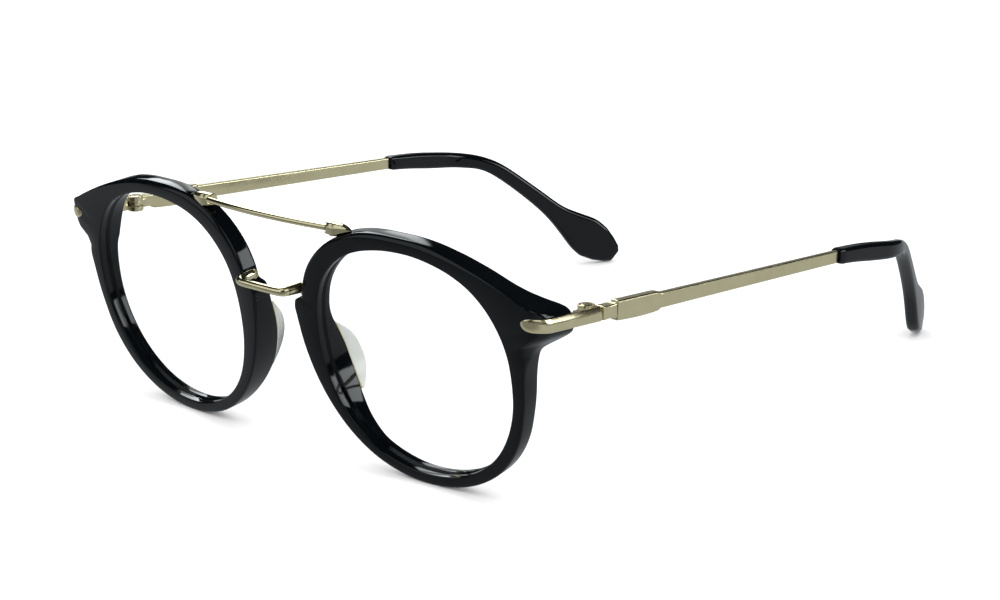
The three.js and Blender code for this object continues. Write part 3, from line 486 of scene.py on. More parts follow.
def pair(name, shape, finish, body, node=None, sharp=34.0):
    """Left piece as modelled (+X), right piece mirrored."""
    for side, part in (("left", shape), ("right", mirrored(shape))):
        piece(f"{name}_{side}", part, finish, body.format(side),
              node and f"{node}_{side}", sharp)


# ---------------------------------------------------------------- materials
class Net:
    """Node tree of a material or world. Inputs take a value or an output to link."""

    def __init__(self, owner, output="OutputMaterial", coords="Object"):
        owner.use_nodes = True
        self.owner = owner
        self.tree = owner.node_tree
        self.tree.nodes.clear()
        self.output = self.node(output)
        self.coords = self.node("TexCoord").outputs[coords]

    def feed(self, socket, value):
        if isinstance(value, bpy.types.NodeSocket):
            self.tree.links.new(value, socket)
        else:
            socket.default_value = value

    def node(self, kind, **inputs):
        """Add a node; input names have _ for a space."""
        made = self.tree.nodes.new("ShaderNode" + kind)
        for name, value in inputs.items():
            self.feed(made.inputs[name.replace("_", " ")], value)
        return made

    def noise(self, scale, detail=3.0, stretch=None):
        texture = self.node("TexNoise", Scale=scale, Detail=detail)
        source = self.coords
        if stretch:
            source = self.node("Mapping", Vector=source, Scale=stretch).outputs["Vector"]
        self.feed(texture.inputs["Vector"], source)
        return texture.outputs["Fac"]

    def ramp(self, factor, *stops):
        made = self.node("ValToRGB", Fac=factor)
        elements = made.color_ramp.elements
        while len(elements) < len(stops):
            elements.new(0.5)
        for element, (position, colour) in zip(elements, stops):
            element.position = position
            element.color = (*colour, 1)
        return made.outputs["Color"]

    def tone(self, noise, low, high):
        """Colour between two tones over the usual range of a noise."""
        return self.ramp(noise, (0.3, low), (0.7, high))

    def remap(self, value, low, high, start=0.3, end=0.7):
        made = self.node("MapRange", From_Min=start, From_Max=end, To_Min=low, To_Max=high,
                         Value=value)
        return made.outputs["Result"]

    def math(self, operation, *values):
        made = self.node("Math")
        made.operation = operation
        for socket, value in zip(made.inputs, values):
            self.feed(socket, value)
        return made.outputs[0]

    def blend(self, first, second, share):
        return self.math("ADD", self.math("MULTIPLY", first, share),
                         self.math("MULTIPLY", second, 1 - share))

    def bump(self, height, **inputs):
        return self.node("Bump", Height=height, **inputs).outputs["Normal"]

    def mix(self, factor, first, second):
        made = self.node("MixShader", Fac=factor)
        self.feed(made.inputs[1], first.outputs[0])
        self.feed(made.inputs[2], second.outputs[0])
        return made

    def finish(self, shader):
        self.feed(self.output.inputs["Surface"], shader.outputs[0])
        return self.owner


def new_net(name):
    return Net(bpy.data.materials.new(name))


def acetate():
    """Polished black acetate: deep gloss, a slow ripple and a trace of haze."""
    net = new_net("black_acetate")
    cloud = net.noise(scale=160, detail=4)
    fine = net.noise(scale=2600)
    colour = net.tone(cloud, low=(0.0008, 0.0015, 0.0021), high=(0.0015, 0.0023, 0.0031))
    rough = net.remap(net.blend(cloud, fine, share=0.6), low=0.035, high=0.085)
    ripple = net.bump(net.noise(scale=210, detail=2), Strength=0.30, Distance=0.00005)
    pits = net.bump(fine, Strength=0.05, Distance=0.0000008, Normal=ripple)
    return net.finish(net.node("BsdfPrincipled", Base_Color=colour, Roughness=rough, IOR=1.42,
                               Normal=pits))


def gold(name, smoothest, roughest, streak, depth):
    """Pale gold plating with streaks along Y; patches vary the tone a little."""
    net = new_net(name)
    run = net.noise(scale=1.0, detail=2, stretch=(1900, 45, 1900))
    patch = net.noise(scale=240)
    colour = net.tone(patch, low=(0.87, 0.785, 0.485), high=(0.92, 0.835, 0.53))
    rough = net.remap(net.blend(run, patch, share=streak), smoothest, roughest)
    streaks = net.bump(run, Strength=0.2, Distance=depth)
    waves = net.bump(net.noise(scale=300, detail=1), Strength=0.2, Distance=depth * 1.5,
                     Normal=streaks)
    return net.finish(net.node("BsdfPrincipled", Base_Color=colour, Metallic=1.0,
                               Roughness=rough, Normal=waves))


def steel():
    net = new_net("bright_steel")
    grain = net.noise(scale=1500)
    return net.finish(net.node(
        "BsdfPrincipled",
        Base_Color=net.tone(grain, low=(0.48, 0.48, 0.48), high=(0.60, 0.60, 0.59)),
        Metallic=1.0,
        Roughness=net.remap(grain, low=0.22, high=0.40),
        Normal=net.bump(grain, Strength=0.15, Distance=0.000006)))


def lens_glass():
    """Clear lens: light goes straight through, and the camera sees a faint cool reflection."""
    net = new_net("clear_lens")
    through = net.node("BsdfTransparent")
    film = net.tone(net.noise(scale=40, detail=2), low=(0.9985, 0.9990, 0.9988),
                    high=(1.0, 1.0, 1.0))
    net.feed(through.inputs["Color"], film)
    sheen = net.node("BsdfGlossy", Roughness=0.02, Color=(0.85, 0.93, 1.0, 1))
    fresnel = net.node("Fresnel", IOR=1.12).outputs[0]
    seen = net.node("LightPath").outputs["Is Camera Ray"]
    share = net.math("MULTIPLY", net.math("MULTIPLY", fresnel, 0.10), seen)
    return net.finish(net.mix(share, through, sheen))


def pad_clear():
    """Clear acetate pad: slightly cloudy, with painted shade that darkens it where it turns away
    from the viewer.
    """
    net = new_net("clear_pad")
    cloud = net.noise(scale=300, detail=4)
    facing = net.node("LayerWeight", Blend=0.5).outputs["Facing"]
    # painted shade: the colour ramp goes dark where the pad faces away from the viewer
    colour = net.ramp(net.math("ADD", facing, net.math("MULTIPLY", cloud, 0.06)),
                      (0.60, (0.57, 0.59, 0.57)), (0.78, (0.50, 0.52, 0.50)),
                      (0.90, (0.03, 0.033, 0.033)))
    through = net.node("BsdfTransparent", Color=(0.92, 0.93, 0.90, 1))
    body = net.node(
        "BsdfPrincipled",
        Base_Color=colour,
        Roughness=net.remap(cloud, low=0.10, high=0.22),
        IOR=1.46,
        Normal=net.bump(net.noise(scale=900, detail=2), Strength=0.15, Distance=0.00002),
        Subsurface_Weight=0.25,
        Subsurface_Radius=(0.002, 0.002, 0.002),
        Subsurface_Scale=0.5)
    return net.finish(net.mix(0.78, through, body))


def glue_line():
    net = new_net("glue_line")
    cloud = net.noise(scale=900)
    return net.finish(net.node(
        "BsdfPrincipled",
        Base_Color=net.tone(cloud, low=(0.46, 0.40, 0.15), high=(0.54, 0.48, 0.20)),
        Roughness=net.remap(cloud, low=0.2, high=0.4)))


# finishes: material and slot
ACETATE = acetate(), "black_acetate"
GOLD_SATIN = gold("gold_satin", smoothest=0.17, roughest=0.27, streak=0.65,
                  depth=0.0000022), "gold_metal"
GOLD_BRIGHT = gold("gold_bright", smoothest=0.06, roughest=0.12, streak=0.3,
                   depth=0.0000012), "gold_metal"
STEEL = steel(), "steel"
LENS = lens_glass(), "clear_lens"
PAD = pad_clear(), "clear_pad"
GLUE = glue_line(), "clear_pad"

# ---------------------------------------------------------------- rims
GROOVE_MOUTH, GROOVE_FLOOR, GROOVE_CUT = 0.62, 0.1, 0.6   # half widths, then depth
# denser at the endpiece and at the nasal corner
RING_ANGLES = np.unique(np.round(np.concatenate([
    np.arange(0, 360, 1.5), np.arange(6, 36, 0.4), np.arange(155, 176, 0.4)]), 3))


def rim_section(angle):
    inner, outer = inner_radius(angle), outer_radius(angle)
    floor_radius = inner + GROOVE_CUT
    corners = [
        (outer, 0), (outer, outer_depth(angle)), (inner, inner_depth(angle)),
        (inner, GROOVE_BACK + GROOVE_MOUTH), (floor_radius, GROOVE_BACK + GROOVE_FLOOR),
        (floor_radius, GROOVE_BACK - GROOVE_FLOOR), (inner, GROOVE_BACK - GROOVE_MOUTH),
        (inner, 0)]
    # the back edges are crisper on the nasal side
    nasal = max(0.0, 1 - abs(angle - 203) / 34) ** 0.5
    radii = [front_bevel(angle), 0.9 - 0.42 * nasal, 0.6 - 0.3 * nasal,
             0.07, 0.05, 0.05, 0.07, 0.32]
    turn, share = math.radians(angle), FALL * fall_share(angle)
    ring = []
    for radius, back in fillet(corners, radii, 6):
        part = min(1, max(0, (radius - inner) / (outer - inner)))
        ring.append(on_rim(radius * math.cos(turn),
                           radius * math.sin(turn) - share * back * part, back))
    return ring


# ---------------------------------------------------------------- endpiece strip
SKIN = 0.42            # stands proud of the rim
RUN = 3.0              # length over which the rounded front end reaches full height
HALF_HEIGHT = 1.36
BEND_RADIUS, THICKNESS = 4.0, 1.2


def strip_stations(grow=0.0, lead=0.0, tail=0.0):
    """Outer point, inner point and half height along the strip: over the rim's face, round
    the corner, then back. grow offsets it all round; lead and tail lengthen its ends."""
    start, second = on_rim(27.95, STRIP_UP, 0), on_rim(28.75, STRIP_UP, 0)
    along = (second - start) * np.array([1, 1, 0])
    length = float(np.linalg.norm(along))
    along /= length
    inward = np.array([-along[1], along[0], 0])
    bend_x = on_rim(CORNER_ACROSS, STRIP_UP, 3)[0] + SKIN - BEND_RADIUS
    bend_y = second[1] - SKIN + BEND_RADIUS * math.cos(WRAP)
    first_turn = -math.pi / 2 + WRAP
    flat = length + (bend_x + BEND_RADIUS * math.cos(first_turn) - second[0])

    def height(travel):
        part = min(travel / RUN, 1)
        return HALF_HEIGHT * math.sqrt(max(0.0006, 1 - (1 - part) ** 2.0))

    stations = []
    for part in np.linspace(0, 1, 9) ** 1.7:
        travel = part * flat
        point = np.array([start[0], start[1], 0]) + along * travel
        rise = SKIN * min(1, 0.12 + (travel / 0.9) ** 0.6)
        stations.append((point - inward * rise, point + inward * 0.75, height(travel)))
    for k in range(1, 29):
        turn = first_turn - first_turn * k / 28
        outer, inner = (np.array([bend_x + radius * math.cos(turn),
                                  bend_y + radius * math.sin(turn), 0])
                        for radius in (BEND_RADIUS, BEND_RADIUS - THICKNESS))
        stations.append((outer, inner, height(flat + BEND_RADIUS * (turn - first_turn))))
    # the back end is eased, except on the grown strip
    ends = [(8.5, 0), (STRIP_END - 0.25, 0), (STRIP_END - 0.1, 0.06),
            (STRIP_END - 0.02, 0.16), (STRIP_END + tail, 0.22)]
    for y, ease in ends:
        inset = 0.0 if grow else ease
        outer_x = bend_x + BEND_RADIUS
        drift = (y - bend_y) * 0.012
        stations.append((np.array([outer_x - drift - inset, y, 0]),
                         np.array([outer_x - THICKNESS - drift + inset * 0.5, y, 0]),
                         HALF_HEIGHT - inset))
    outer, inner, half = stations[0]
    stations[0] = (outer - along * lead, inner - along * lead, half)
    grown = []
    for outer, inner, half in stations:
        normal = (outer - inner) / np.linalg.norm(outer - inner)
        grown.append((outer + normal * grow, inner - normal * grow, half + grow))
    return grown


def strip(grow=0.0, lead=0.0, tail=0.0):
    lean = math.tan(-TILT)
    rings = []
    for outer, inner, half in strip_stations(grow, lead, tail):
        centre_z = temple_z(outer[1]) + 0.15
        face_share = max(0.0, 1 - max(0.0, outer[1] - 1.2) / 3)
        side_share = min(1.0, max(0.0, (outer[1] - 0.5) / 4.0))
        width = float(np.linalg.norm(outer - inner))
        levels = (-0.8, -0.6, -0.4, -0.2, 0, 0.2, 0.4, 0.6, 0.8)
        section = fillet(
            [(0, half), (0, -half), (width, -half)]
            + [(width, level * half) for level in levels] + [(width, half)],
            [0.08, 0.08, 0.25] + [0.1] * 9 + [0.25], 6)
        ring = []
        for x, y in section:
            # x runs from the inner to the outer face, y up; the outer face is crowned
            crown = ((0.34 * (1 - min(1, abs(y) / max(half, 1e-3)) ** 2.2) - 0.24)
                     * (x / width) ** 3 * min(1, half / HALF_HEIGHT))
            point = inner + (outer - inner) * ((x + crown) / width)
            ring.append((point[0] - 0.13 * side_share * y * x / width,
                         point[1] - lean * face_share * y, centre_z + y))
        rings.append(ring)
    return loft(rings)


# at the last full section, before the back end is eased
STRIP_OUTER_X, STRIP_INNER_X = (point[0] for point in strip_stations()[-4][:2])
SCREW_ACROSS, SCREW_UP = 29.6, STRIP_UP - 0.2


def on_screw(back):
    return on_rim(SCREW_ACROSS, SCREW_UP, back)


def acetate_rim():
    blank = loft([rim_section(angle) for angle in RING_ANGLES], closed=True)
    recess = strip(grow=0.035, lead=0.03, tail=0.4)
    screw_bore = sweep([on_screw(12.6), on_screw(8.4)], 1.25, 48)
    return combined(blank, cut=[recess, screw_bore])


def endpiece_screw():
    """Slotted head at the back of the endpiece."""
    head = sweep([on_screw(back) for back in (8.5, 9.0, 9.25)], [0.7, 1.08, 1.1], 48,
                 round_ends=0.28)
    along = RIM_ACROSS * 0.75 + RIM_UP * 0.66
    along /= np.linalg.norm(along)
    sideways = np.cross(RIM_BACK, along)
    half_length, half_width, half_depth = 1.5, 0.14, 0.24
    corners = [on_screw(9.45) + along * half_length * i + sideways * half_width * j
               + RIM_BACK * half_depth * k
               for i in (-1, 1) for j in (-1, 1) for k in (-1, 1)]
    return combined(head, cut=[orient(corners, BLOCK_FACES)])


pair("acetate_rim", acetate_rim(), ACETATE, "front", "rim", sharp=38)
pair("gold_strip", strip(), GOLD_SATIN, "front", "endpiece_strip", sharp=50)
pair("endpiece_screw_head", endpiece_screw(), STEEL, "front", "endpiece_screw", sharp=40)


# ---------------------------------------------------------------- lenses
def lens():
    """Lens domed towards the front, with a thin tongue in the rim's groove."""
    shares = np.array([0.0, 0.15, 0.3, 0.45, 0.6, 0.75, 0.88, 0.96, 1.0])
    sag, half_thick = 1.3, 0.65
    tongue, half_tongue = 0.42, 0.06

    def face(angle, radius, side, order):
        return [rim_polar(angle, radius * share,
                          GROOVE_BACK + side * half_thick - sag * (1 - share * share))
                for share in order]

    rings = []
    for angle in np.arange(0, 360, 2.0):
        radius = inner_radius(angle) - 0.25
        edge = [rim_polar(angle, inner_radius(angle) + tongue, GROOVE_BACK + side * half_tongue)
                for side in (-1, 1)]
        rings.append(face(angle, radius, -1, shares[1:]) + edge
                     + face(angle, radius, 1, shares[:0:-1]))
    size, count = len(rings[0]), len(rings)
    verts = [point for ring in rings for point in ring]
    front = len(verts)
    verts += [on_rim(0, 0, GROOVE_BACK + side * half_thick - sag) for side in (-1, 1)]
    faces = []
    for i in range(count):
        here, there = i * size, (i + 1) % count * size
        for j in range(size - 1):
            faces.append((here + j, there + j, there + j + 1, here + j + 1))
        faces.append((front, there, here))
        faces.append((front + 1, here + size - 1, there + size - 1))
    return orient(verts, faces)


pair("demo_lens", lens(), LENS, "front", "lens", sharp=40)


# ---------------------------------------------------------------- nose pads
def nasal_across(up, radius_at):
    """Where a radius curve passes the given height on the nasal side."""
    across = -26.0
    for _ in range(8):
        angle = math.degrees(math.atan2(up, across)) + 360
        across = -math.sqrt(max(radius_at(angle) ** 2 - up * up, 1))
    return across


def rim_rear(angle, share):
    """Depth of the rim's back face, from the outer edge (0) to the lens opening (1)."""
    return outer_depth(angle) + (inner_depth(angle) - outer_depth(angle)) * share


def pad(lift, half_film=None):
    """Pad standing `lift` off the rim's back face, or a film of the given half thickness."""
    rows = np.array(PAD_ROWS)
    fine = np.linspace(0, len(rows) - 1, 41)
    columns = (spline(np.arange(len(rows)), column, fine) for column in rows.T)
    rings = []
    for lip_up, edge_up, height in zip(*columns):
        height = max(height, 0.3)
        lip_angle = math.degrees(math.atan2(lip_up, -24)) + 360
        edge_angle = math.degrees(math.atan2(edge_up, -28)) + 360
        edge_width = outer_radius(edge_angle) - inner_radius(edge_angle)
        lip_width = outer_radius(lip_angle) - inner_radius(lip_angle)
        edge_back = rim_rear(edge_angle, 0.5 / edge_width) + lift
        lip_back = rim_rear(lip_angle, 1 - 0.3 / lip_width) + lift
        lip_side = nasal_across(lip_up, lambda angle: inner_radius(angle) + 0.3)
        edge_side = nasal_across(edge_up, lambda angle: outer_radius(angle) - 0.5)
        if half_film is not None:
            section = fillet([(edge_side, -half_film), (edge_side, half_film),
                              (lip_side, half_film), (lip_side, -half_film)], [0.05] * 4, 3)
        else:
            size = height / 4.5
            small = max(size, 0.3)
            section = fillet([(edge_side, 0), (edge_side + 2.1 * size, height * 0.45),
                              (edge_side + 4.4 * size, height),
                              (lip_side + 0.5 * size, height * 0.97), (lip_side, 0)],
                             [0.1, 2.5, 0.7 * small, 0.6 * small, 0.1], 7)
        ring = []
        for across, rise in section:
            part = min(max((across - edge_side) / (lip_side - edge_side), 0), 1)
            ring.append(on_rim(across, edge_up + (lip_up - edge_up) * part,
                               edge_back + (lip_back - edge_back) * part + rise))
        rings.append(ring)
    return loft(rings)


pair("pad", pad(lift=0.23), PAD, "front", "nose_pad", sharp=45)
pair("pad_glue", pad(lift=0.12, half_film=0.095), GLUE, "front", sharp=45)

# ---------------------------------------------------------------- brow bar and its feet
BROW_END = np.array([17.0, -4.3, 50.1])


def brow_point(x):
    bow = 1 - (x / BROW_END[0]) ** 2
    return np.array([x, BROW_END[1] - 1.5 * bow, BROW_END[2] + 0.1 * bow])


def outline_angle(trig, target, low, high, rounds):
    """Angle where the outline's cos or sin projection falls to the target, by bisection."""
    for _ in range(rounds):
        middle = (low + high) / 2
        if outer_radius(middle) * trig(math.radians(middle)) > target:
            low = middle
        else:
            high = middle
    return low


def brow_lug():
    """Lug along the top of the rim that tapers away from the bar."""
    xs = np.concatenate([[16.5, 16.54, 16.62, 16.75, 16.95], np.linspace(17.2, 22.95, 30)])
    table = np.array(BROW_LUG)
    kernel = np.array([1, 2, 3, 2, 1]) / 9.0

    def eased(column):
        values = np.interp(xs, table[:, 0], table[:, column])
        return np.concatenate([values[:4], np.convolve(values, kernel, "same")[4:-3],
                               values[-3:]])

    rings = []
    for x, half, top in zip(xs, eased(1), eased(2)):
        angle = outline_angle(math.cos, (x - HALF_PITCH) / RIM_ACROSS[0], 60.0, 175.0, 50)
        seat = rim_polar(angle, outer_radius(angle) + 0.03, 2.1)
        centre_y, seat_z = seat[1] - 0.65, seat[2] + 0.02
        base = seat_z
        # the end by the bar stands clear of the falling outline
        if x < 18.6:
            share = min(1, (18.6 - x) / 0.7)
            base = (max(seat_z, 48.72 * share + seat_z * (1 - share))
                    + max(0, BROW_END[0] - x) * 0.5)
        height = max(top - base, 0.14)
        # upright cheeks, a chamfer and a rounded top
        section = fillet(
            [(-half, 0.0), (-half, 0.60 * height), (-half * 0.60, 0.93 * height), (0.0, height),
             (half * 0.60, 0.93 * height), (half, 0.60 * height), (half, 0.0)],
            [0.08, 0.3 * half, 0.4 * half, 0.8 * half, 0.4 * half, 0.3 * half, 0.08], 5)
        rings.append([(x, centre_y + y, base + z - y * 0.17 * (1 - min(1, z / height)))
                      for y, z in section])
    return loft(rings)


piece("brow_wire", sweep([brow_point(x) for x in np.linspace(-16.9, 16.9, 61)], 0.6, 36),
      GOLD_BRIGHT, "front", "brow_bar")
brow_socket = sweep([brow_point(15.6), brow_point(BROW_END[0])], 0.8, 40)
pair("brow_foot", combined(brow_lug(), cut=[brow_socket]), GOLD_BRIGHT, "front", "brow_lug",
     sharp=30)


# ---------------------------------------------------------------- bridge
def bridge_rod():
    right = [[-x, y, z, radius] for x, y, z, radius in reversed(BRIDGE)]
    line = np.array(right + BRIDGE[1:])
    steps = np.linalg.norm(np.diff(line[:, :3], axis=0), axis=1)
    travel = np.concatenate([[0], np.cumsum(steps)])
    fine = np.linspace(0, travel[-1], 90)
    path = np.stack([spline(travel, line[:, column], fine) for column in range(3)], 1)
    return sweep(path, np.interp(fine, travel, line[:, 3]), 40)


def bridge_foot():
    """Dished plate against the rim's nasal flank."""
    def flank(up):
        angle = outline_angle(math.sin, up, 90.0, 178.0, 40)
        return outer_radius(angle) * math.cos(math.radians(angle))

    face = min(flank(up) for up in (8.6, 9.2, 9.8, 10.4, 10.8)) - 0.05
    mid_up, mid_back = 9.6, 2.2

    def layer(scale, across):
        return [on_rim(across, mid_up + (up - mid_up) * scale,
                       mid_back + (back - mid_back) * scale)
                for up, back in fillet(BRIDGE_FOOT, [0.35] * 7, 3)]

    plate = loft([layer(1, face), layer(1, face - 0.36), layer(0.95, face - 0.5),
                  layer(0.88, face - 0.56)])
    dish = loft([layer(0.60, face - 0.24), layer(0.70, face - 0.42), layer(0.76, face - 0.75)])
    return combined(plate, cut=[dish])


left_foot = bridge_foot()
piece("bridge_casting",
      combined(bridge_rod(), joined=[left_foot, mirrored(left_foot)], voxel=0.045),
      GOLD_BRIGHT, "front", "bridge_bar", sharp=60)


# ---------------------------------------------------------------- hinge
def hinge_leaf():
    """Plate inside the strip with the two outer knuckles."""
    seat_x = STRIP_INNER_X - 0.03
    return combined(
        hinge_block((seat_x - 1.1, seat_x), (-4.3, 0.2), (-1.4, 1.4)),
        joined=[drum(-KNUCKLE_HALF, KNUCKLE_HALF, 1.68)],
        cut=[
            # slot for the middle knuckle
            hinge_block((HINGE_X - 3, seat_x + 0.6), (-1.9, 2.6), (-0.57, 0.57)),
            bore(-3, 3, 0.6),
            bore(KNUCKLE_HALF - 0.45, 3, 1.27),
            # trims the knuckles flush with the plate
            hinge_block((seat_x + 0.02, seat_x + 3), (-6, 4), (-3, 3))],
        voxel=0.05)


def pivot_screw():
    top = KNUCKLE_HALF
    profile = [
        (1e-4, -top - SCREW_BELOW), (0.45, -top - SCREW_BELOW), (0.55, -top + 0.08),
        (0.55, top - 0.38), (1.14, top - 0.38), (1.17, top - 0.34), (1.17, top - 0.14),
        (1.1, top - 0.07), (0.95, top - 0.03), (0.5, top), (1e-4, top + 0.01)]
    screw = turned([(radius, HINGE_Z + z) for radius, z in profile], 72)
    verts, faces = block((-0.17, 0.17), (-1.4, 1.4), (top - 0.24, top + 1))
    slot_turn = Matrix.Rotation(0.5, 3, "Z")
    verts = np.array([list(slot_turn @ Vector(vert)) for vert in verts])
    return combined(screw, cut=[(verts + np.array([HINGE_X, HINGE_Y, HINGE_Z]), faces)])


def slider():
    """Middle knuckle, web, waisted neck and shank in one piece."""
    web_x = STRIP_INNER_X - 0.25
    web = prism([(HINGE_X - 1.0, HINGE_Y), (HINGE_X + 0.9, HINGE_Y + 0.3),
                 (web_x, HINGE_Y + 1.3), (web_x, HINGE_Y + 2.7),
                 (HINGE_X - 0.4, HINGE_Y + 2.7), (HINGE_X - 1.0, HINGE_Y + 1.1)],
                HINGE_Z - 0.5, HINGE_Z + 0.5)
    inner_x, outer_x = STRIP_INNER_X - 1.35, STRIP_OUTER_X - 0.04
    ys, halves, insets = np.array(NECK).T
    rings = []
    for y in np.concatenate([ys[:3], np.linspace(NECK_Y + 0.5, BOX_Y0 - 0.3, 12), ys[-1:]]):
        half, inset = np.interp(y, ys, halves), np.interp(y, ys, insets)
        half_width = (outer_x - inner_x) / 2 - inset / 2
        rings.append([((inner_x + outer_x) / 2 - inset / 2 + x, y, temple_z(y) + 0.1 + z)
                      for x, z in rounded_box(half_width, half, half, 0.3, 6)])
    shank = sweep([(BOX_X, BOX_Y0 - 0.6, temple_z(BOX_Y0)), (BOX_X, 31.9, temple_z(31.9))],
                  0.34, 24)
    return combined(drum(-0.5, 0.5, KNUCKLE_RADIUS - 0.04), joined=[web, loft(rings), shank],
                    cut=[bore(-3, 3, 0.62)], voxel=0.055)


pair("leaf", hinge_leaf(), GOLD_SATIN, "front", "hinge_leaf", sharp=55)
pair("pivot_screw", pivot_screw(), GOLD_BRIGHT, "front", "hinge_screw", sharp=35)
pair("slider", slider(), GOLD_SATIN, "slider_{}", "hinge_slider", sharp=55)

# ---------------------------------------------------------------- spring case, bar and tip
TEMPLE_UP = np.array([0, TEMPLE_DROP, 1.0])
TEMPLE_UP /= np.linalg.norm(TEMPLE_UP)
X_AXIS = np.array([1.0, 0, 0])


def section_at(centre, section, side=X_AXIS, up=TEMPLE_UP):
    return [centre + side * x + up * y for x, y in section]


def spring_case():
    travels = np.concatenate([[0, 0.04, 0.12, 0.28, 0.5], np.linspace(0.9, 11.1, 16),
                              [11.6, 12.1, 12.4, 12.6, 12.7]])
    rings = []
    for travel in travels:
        def past(start):
            return max(0, (travel - start) / (BOX_LENGTH - start))

        front_ease = max(0.0, 1 - travel / 0.3) ** 2 * 0.2
        back_ease = past(12.3) ** 2 * 0.22
        belly = 0.18 * math.sin(math.pi * min(travel / BOX_LENGTH * 1.05, 1))
        above = 1.98 - front_ease - back_ease - past(11.3) * 0.10
        below = 1.90 + belly - front_ease - back_ease - past(11.0) * 0.08
        half_width = (BOX_X1 - BOX_X0) / 2 - front_ease * 0.8 - back_ease * 0.5
        y = BOX_Y0 + travel
        rings.append(section_at(np.array([BOX_X, y, temple_z(y)]),
                                rounded_box(half_width, above, below, 0.38, 7)))

    def bore_along(start, end, radius):
        return sweep([(BOX_X, y, temple_z(y)) for y in (start, end)], radius, 40)

    return combined(loft(rings), cut=[bore_along(BOX_Y0 - 1, 23.0, 0.55),
                                      bore_along(22.75, BOX_Y1 - 1, 0.8)])


def bar_x(y):
    return BOX_X + 0.1 - BAR_TOE_IN * max(0, y - BAR_Y0)


def temple_bar():
    ys, widths, heights = np.array(BAR).T
    rings = []
    for y in np.concatenate([[BAR_Y0 + 0.06, BAR_Y0 + 0.1, BAR_Y0 + 0.2, BAR_Y0 + 0.45],
                             np.linspace(36, BAR_Y1 - 0.1, 40), [BAR_Y1]]):
        width, height = np.interp(y, ys, widths), np.interp(y, ys, heights)
        rings.append(section_at(np.array([bar_x(y), y, temple_z(y)]),
                                rounded_box(width, height, height, 0.3, 6)))
    return loft(rings)


# the tip bends inwards between these two places, to this slope
TIP_BEND_Y0, TIP_BEND_Y1, TIP_TOE_IN = 113.0, 121.0, 0.47


def tip_x(y):
    length, turn = TIP_BEND_Y1 - TIP_BEND_Y0, TIP_TOE_IN - BAR_TOE_IN
    if y < TIP_BEND_Y0:
        shift = 0
    elif y < TIP_BEND_Y1:
        shift = turn * (y - TIP_BEND_Y0) ** 2 / (2 * length)
    else:
        shift = turn * (length / 2 + y - TIP_BEND_Y1)
    return bar_x(y) - shift


def ear_tip():
    table = np.array(TIP)
    rows = np.arange(len(table), dtype=float)
    fine = np.concatenate([np.linspace(0, 14, 99), np.linspace(14.1, 17, 30)])
    # the blunt end keeps its facets, so the spline gives way to straight runs there
    straight = np.clip((fine - 12.5) / 2.5, 0, 1)
    columns = [spline(rows, column, fine) * (1 - straight)
               + np.interp(fine, rows, column) * straight for column in table.T]
    rings = []
    for i, (top_y, top_z, bottom_y, bottom_z) in enumerate(zip(*columns)):
        middle = (top_y + bottom_y) / 2
        slope = (tip_x(middle + 0.4) - tip_x(middle - 0.4)) / 0.8
        side = np.array([1, -slope, 0])
        side /= np.linalg.norm(side)
        top = np.array([tip_x(top_y), top_y, top_z])
        bottom = np.array([tip_x(bottom_y), bottom_y, bottom_z])
        up = top - bottom
        half = np.linalg.norm(up) / 2
        trim = {0: 0.18, 1: 0.02}.get(i, 0)    # eased front edge
        thick = float(np.interp(fine[i], [0, 0.3, 1, 14, 15, 16, 16.7, 17],
                                [1.42, 1.5, 1.5, 1.5, 1.42, 1.25, 1.0, 0.7])) - trim
        radius = float(np.interp(fine[i], [0, 0.4, 3, 6, 17], [0.5, 0.8, 0.95, 1.2, 1.15]))
        height = max(half - trim, 0.8)
        section = rounded_box(thick, height, height, min(radius, thick * 0.9), 7)
        rings.append(section_at((top + bottom) / 2, section, side, up / (2 * half)))
    return loft(rings)


pair("spring_case", spring_case(), GOLD_SATIN, "temple_{}", "spring_box", sharp=40)
pair("temple_blade", temple_bar(), GOLD_SATIN, "temple_{}", "temple_bar", sharp=40)
pair("ear_tip", ear_tip(), ACETATE, "temple_{}", "temple_tip", sharp=40)


# ---------------------------------------------------------------- coil springs
def coil(side):
    """Spring on the shank, wound between the ends of the imported spring and riding on the
    slider.
    """
    low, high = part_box("hinge_spring_" + side)
    front = low.y * MM_PER_M - DESIGN_OFFSET[1] + 0.02
    back = high.y * MM_PER_M - DESIGN_OFFSET[1] - 0.02
    wire = 0.13
    radius = (high.x - low.x) * MM_PER_M / 2 - wire
    centre_x = (low.x + high.x) * MM_PER_M / 2
    turns, steps_per_turn = 10, 44
    # end turns are closed up: this share of the wire at each end climbs at a lower pitch
    end_share, end_pitch = 0.05, 0.45
    open_pitch = (1 - 2 * end_share * end_pitch) / (1 - 2 * end_share)
    y0, y1 = front + wire, back - wire
    path = []
    for i in range(turns * steps_per_turn + 1):
        part = i / (turns * steps_per_turn)
        if part < end_share:
            climb = part * end_pitch
        elif part < 1 - end_share:
            climb = end_share * end_pitch + (part - end_share) * open_pitch
        else:
            climb = 1 - (1 - part) * end_pitch
        y = y0 + (y1 - y0) * climb
        turn = 2 * math.pi * turns * part
        path.append((centre_x + radius * math.cos(turn), y,
                     temple_z(y) + radius * math.sin(turn)))
    made = piece("coil_spring_" + side, sweep(path, wire, 10, round_ends=0.8), STEEL,
                 "slider_" + side, "hinge_spring_" + side, sharp=60)
    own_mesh(made)


coil("left")
coil("right")

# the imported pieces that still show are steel
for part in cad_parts.values():
    if not part.hide_render:
        part.data.materials.clear()
        part.data.materials.append(STEEL[0])


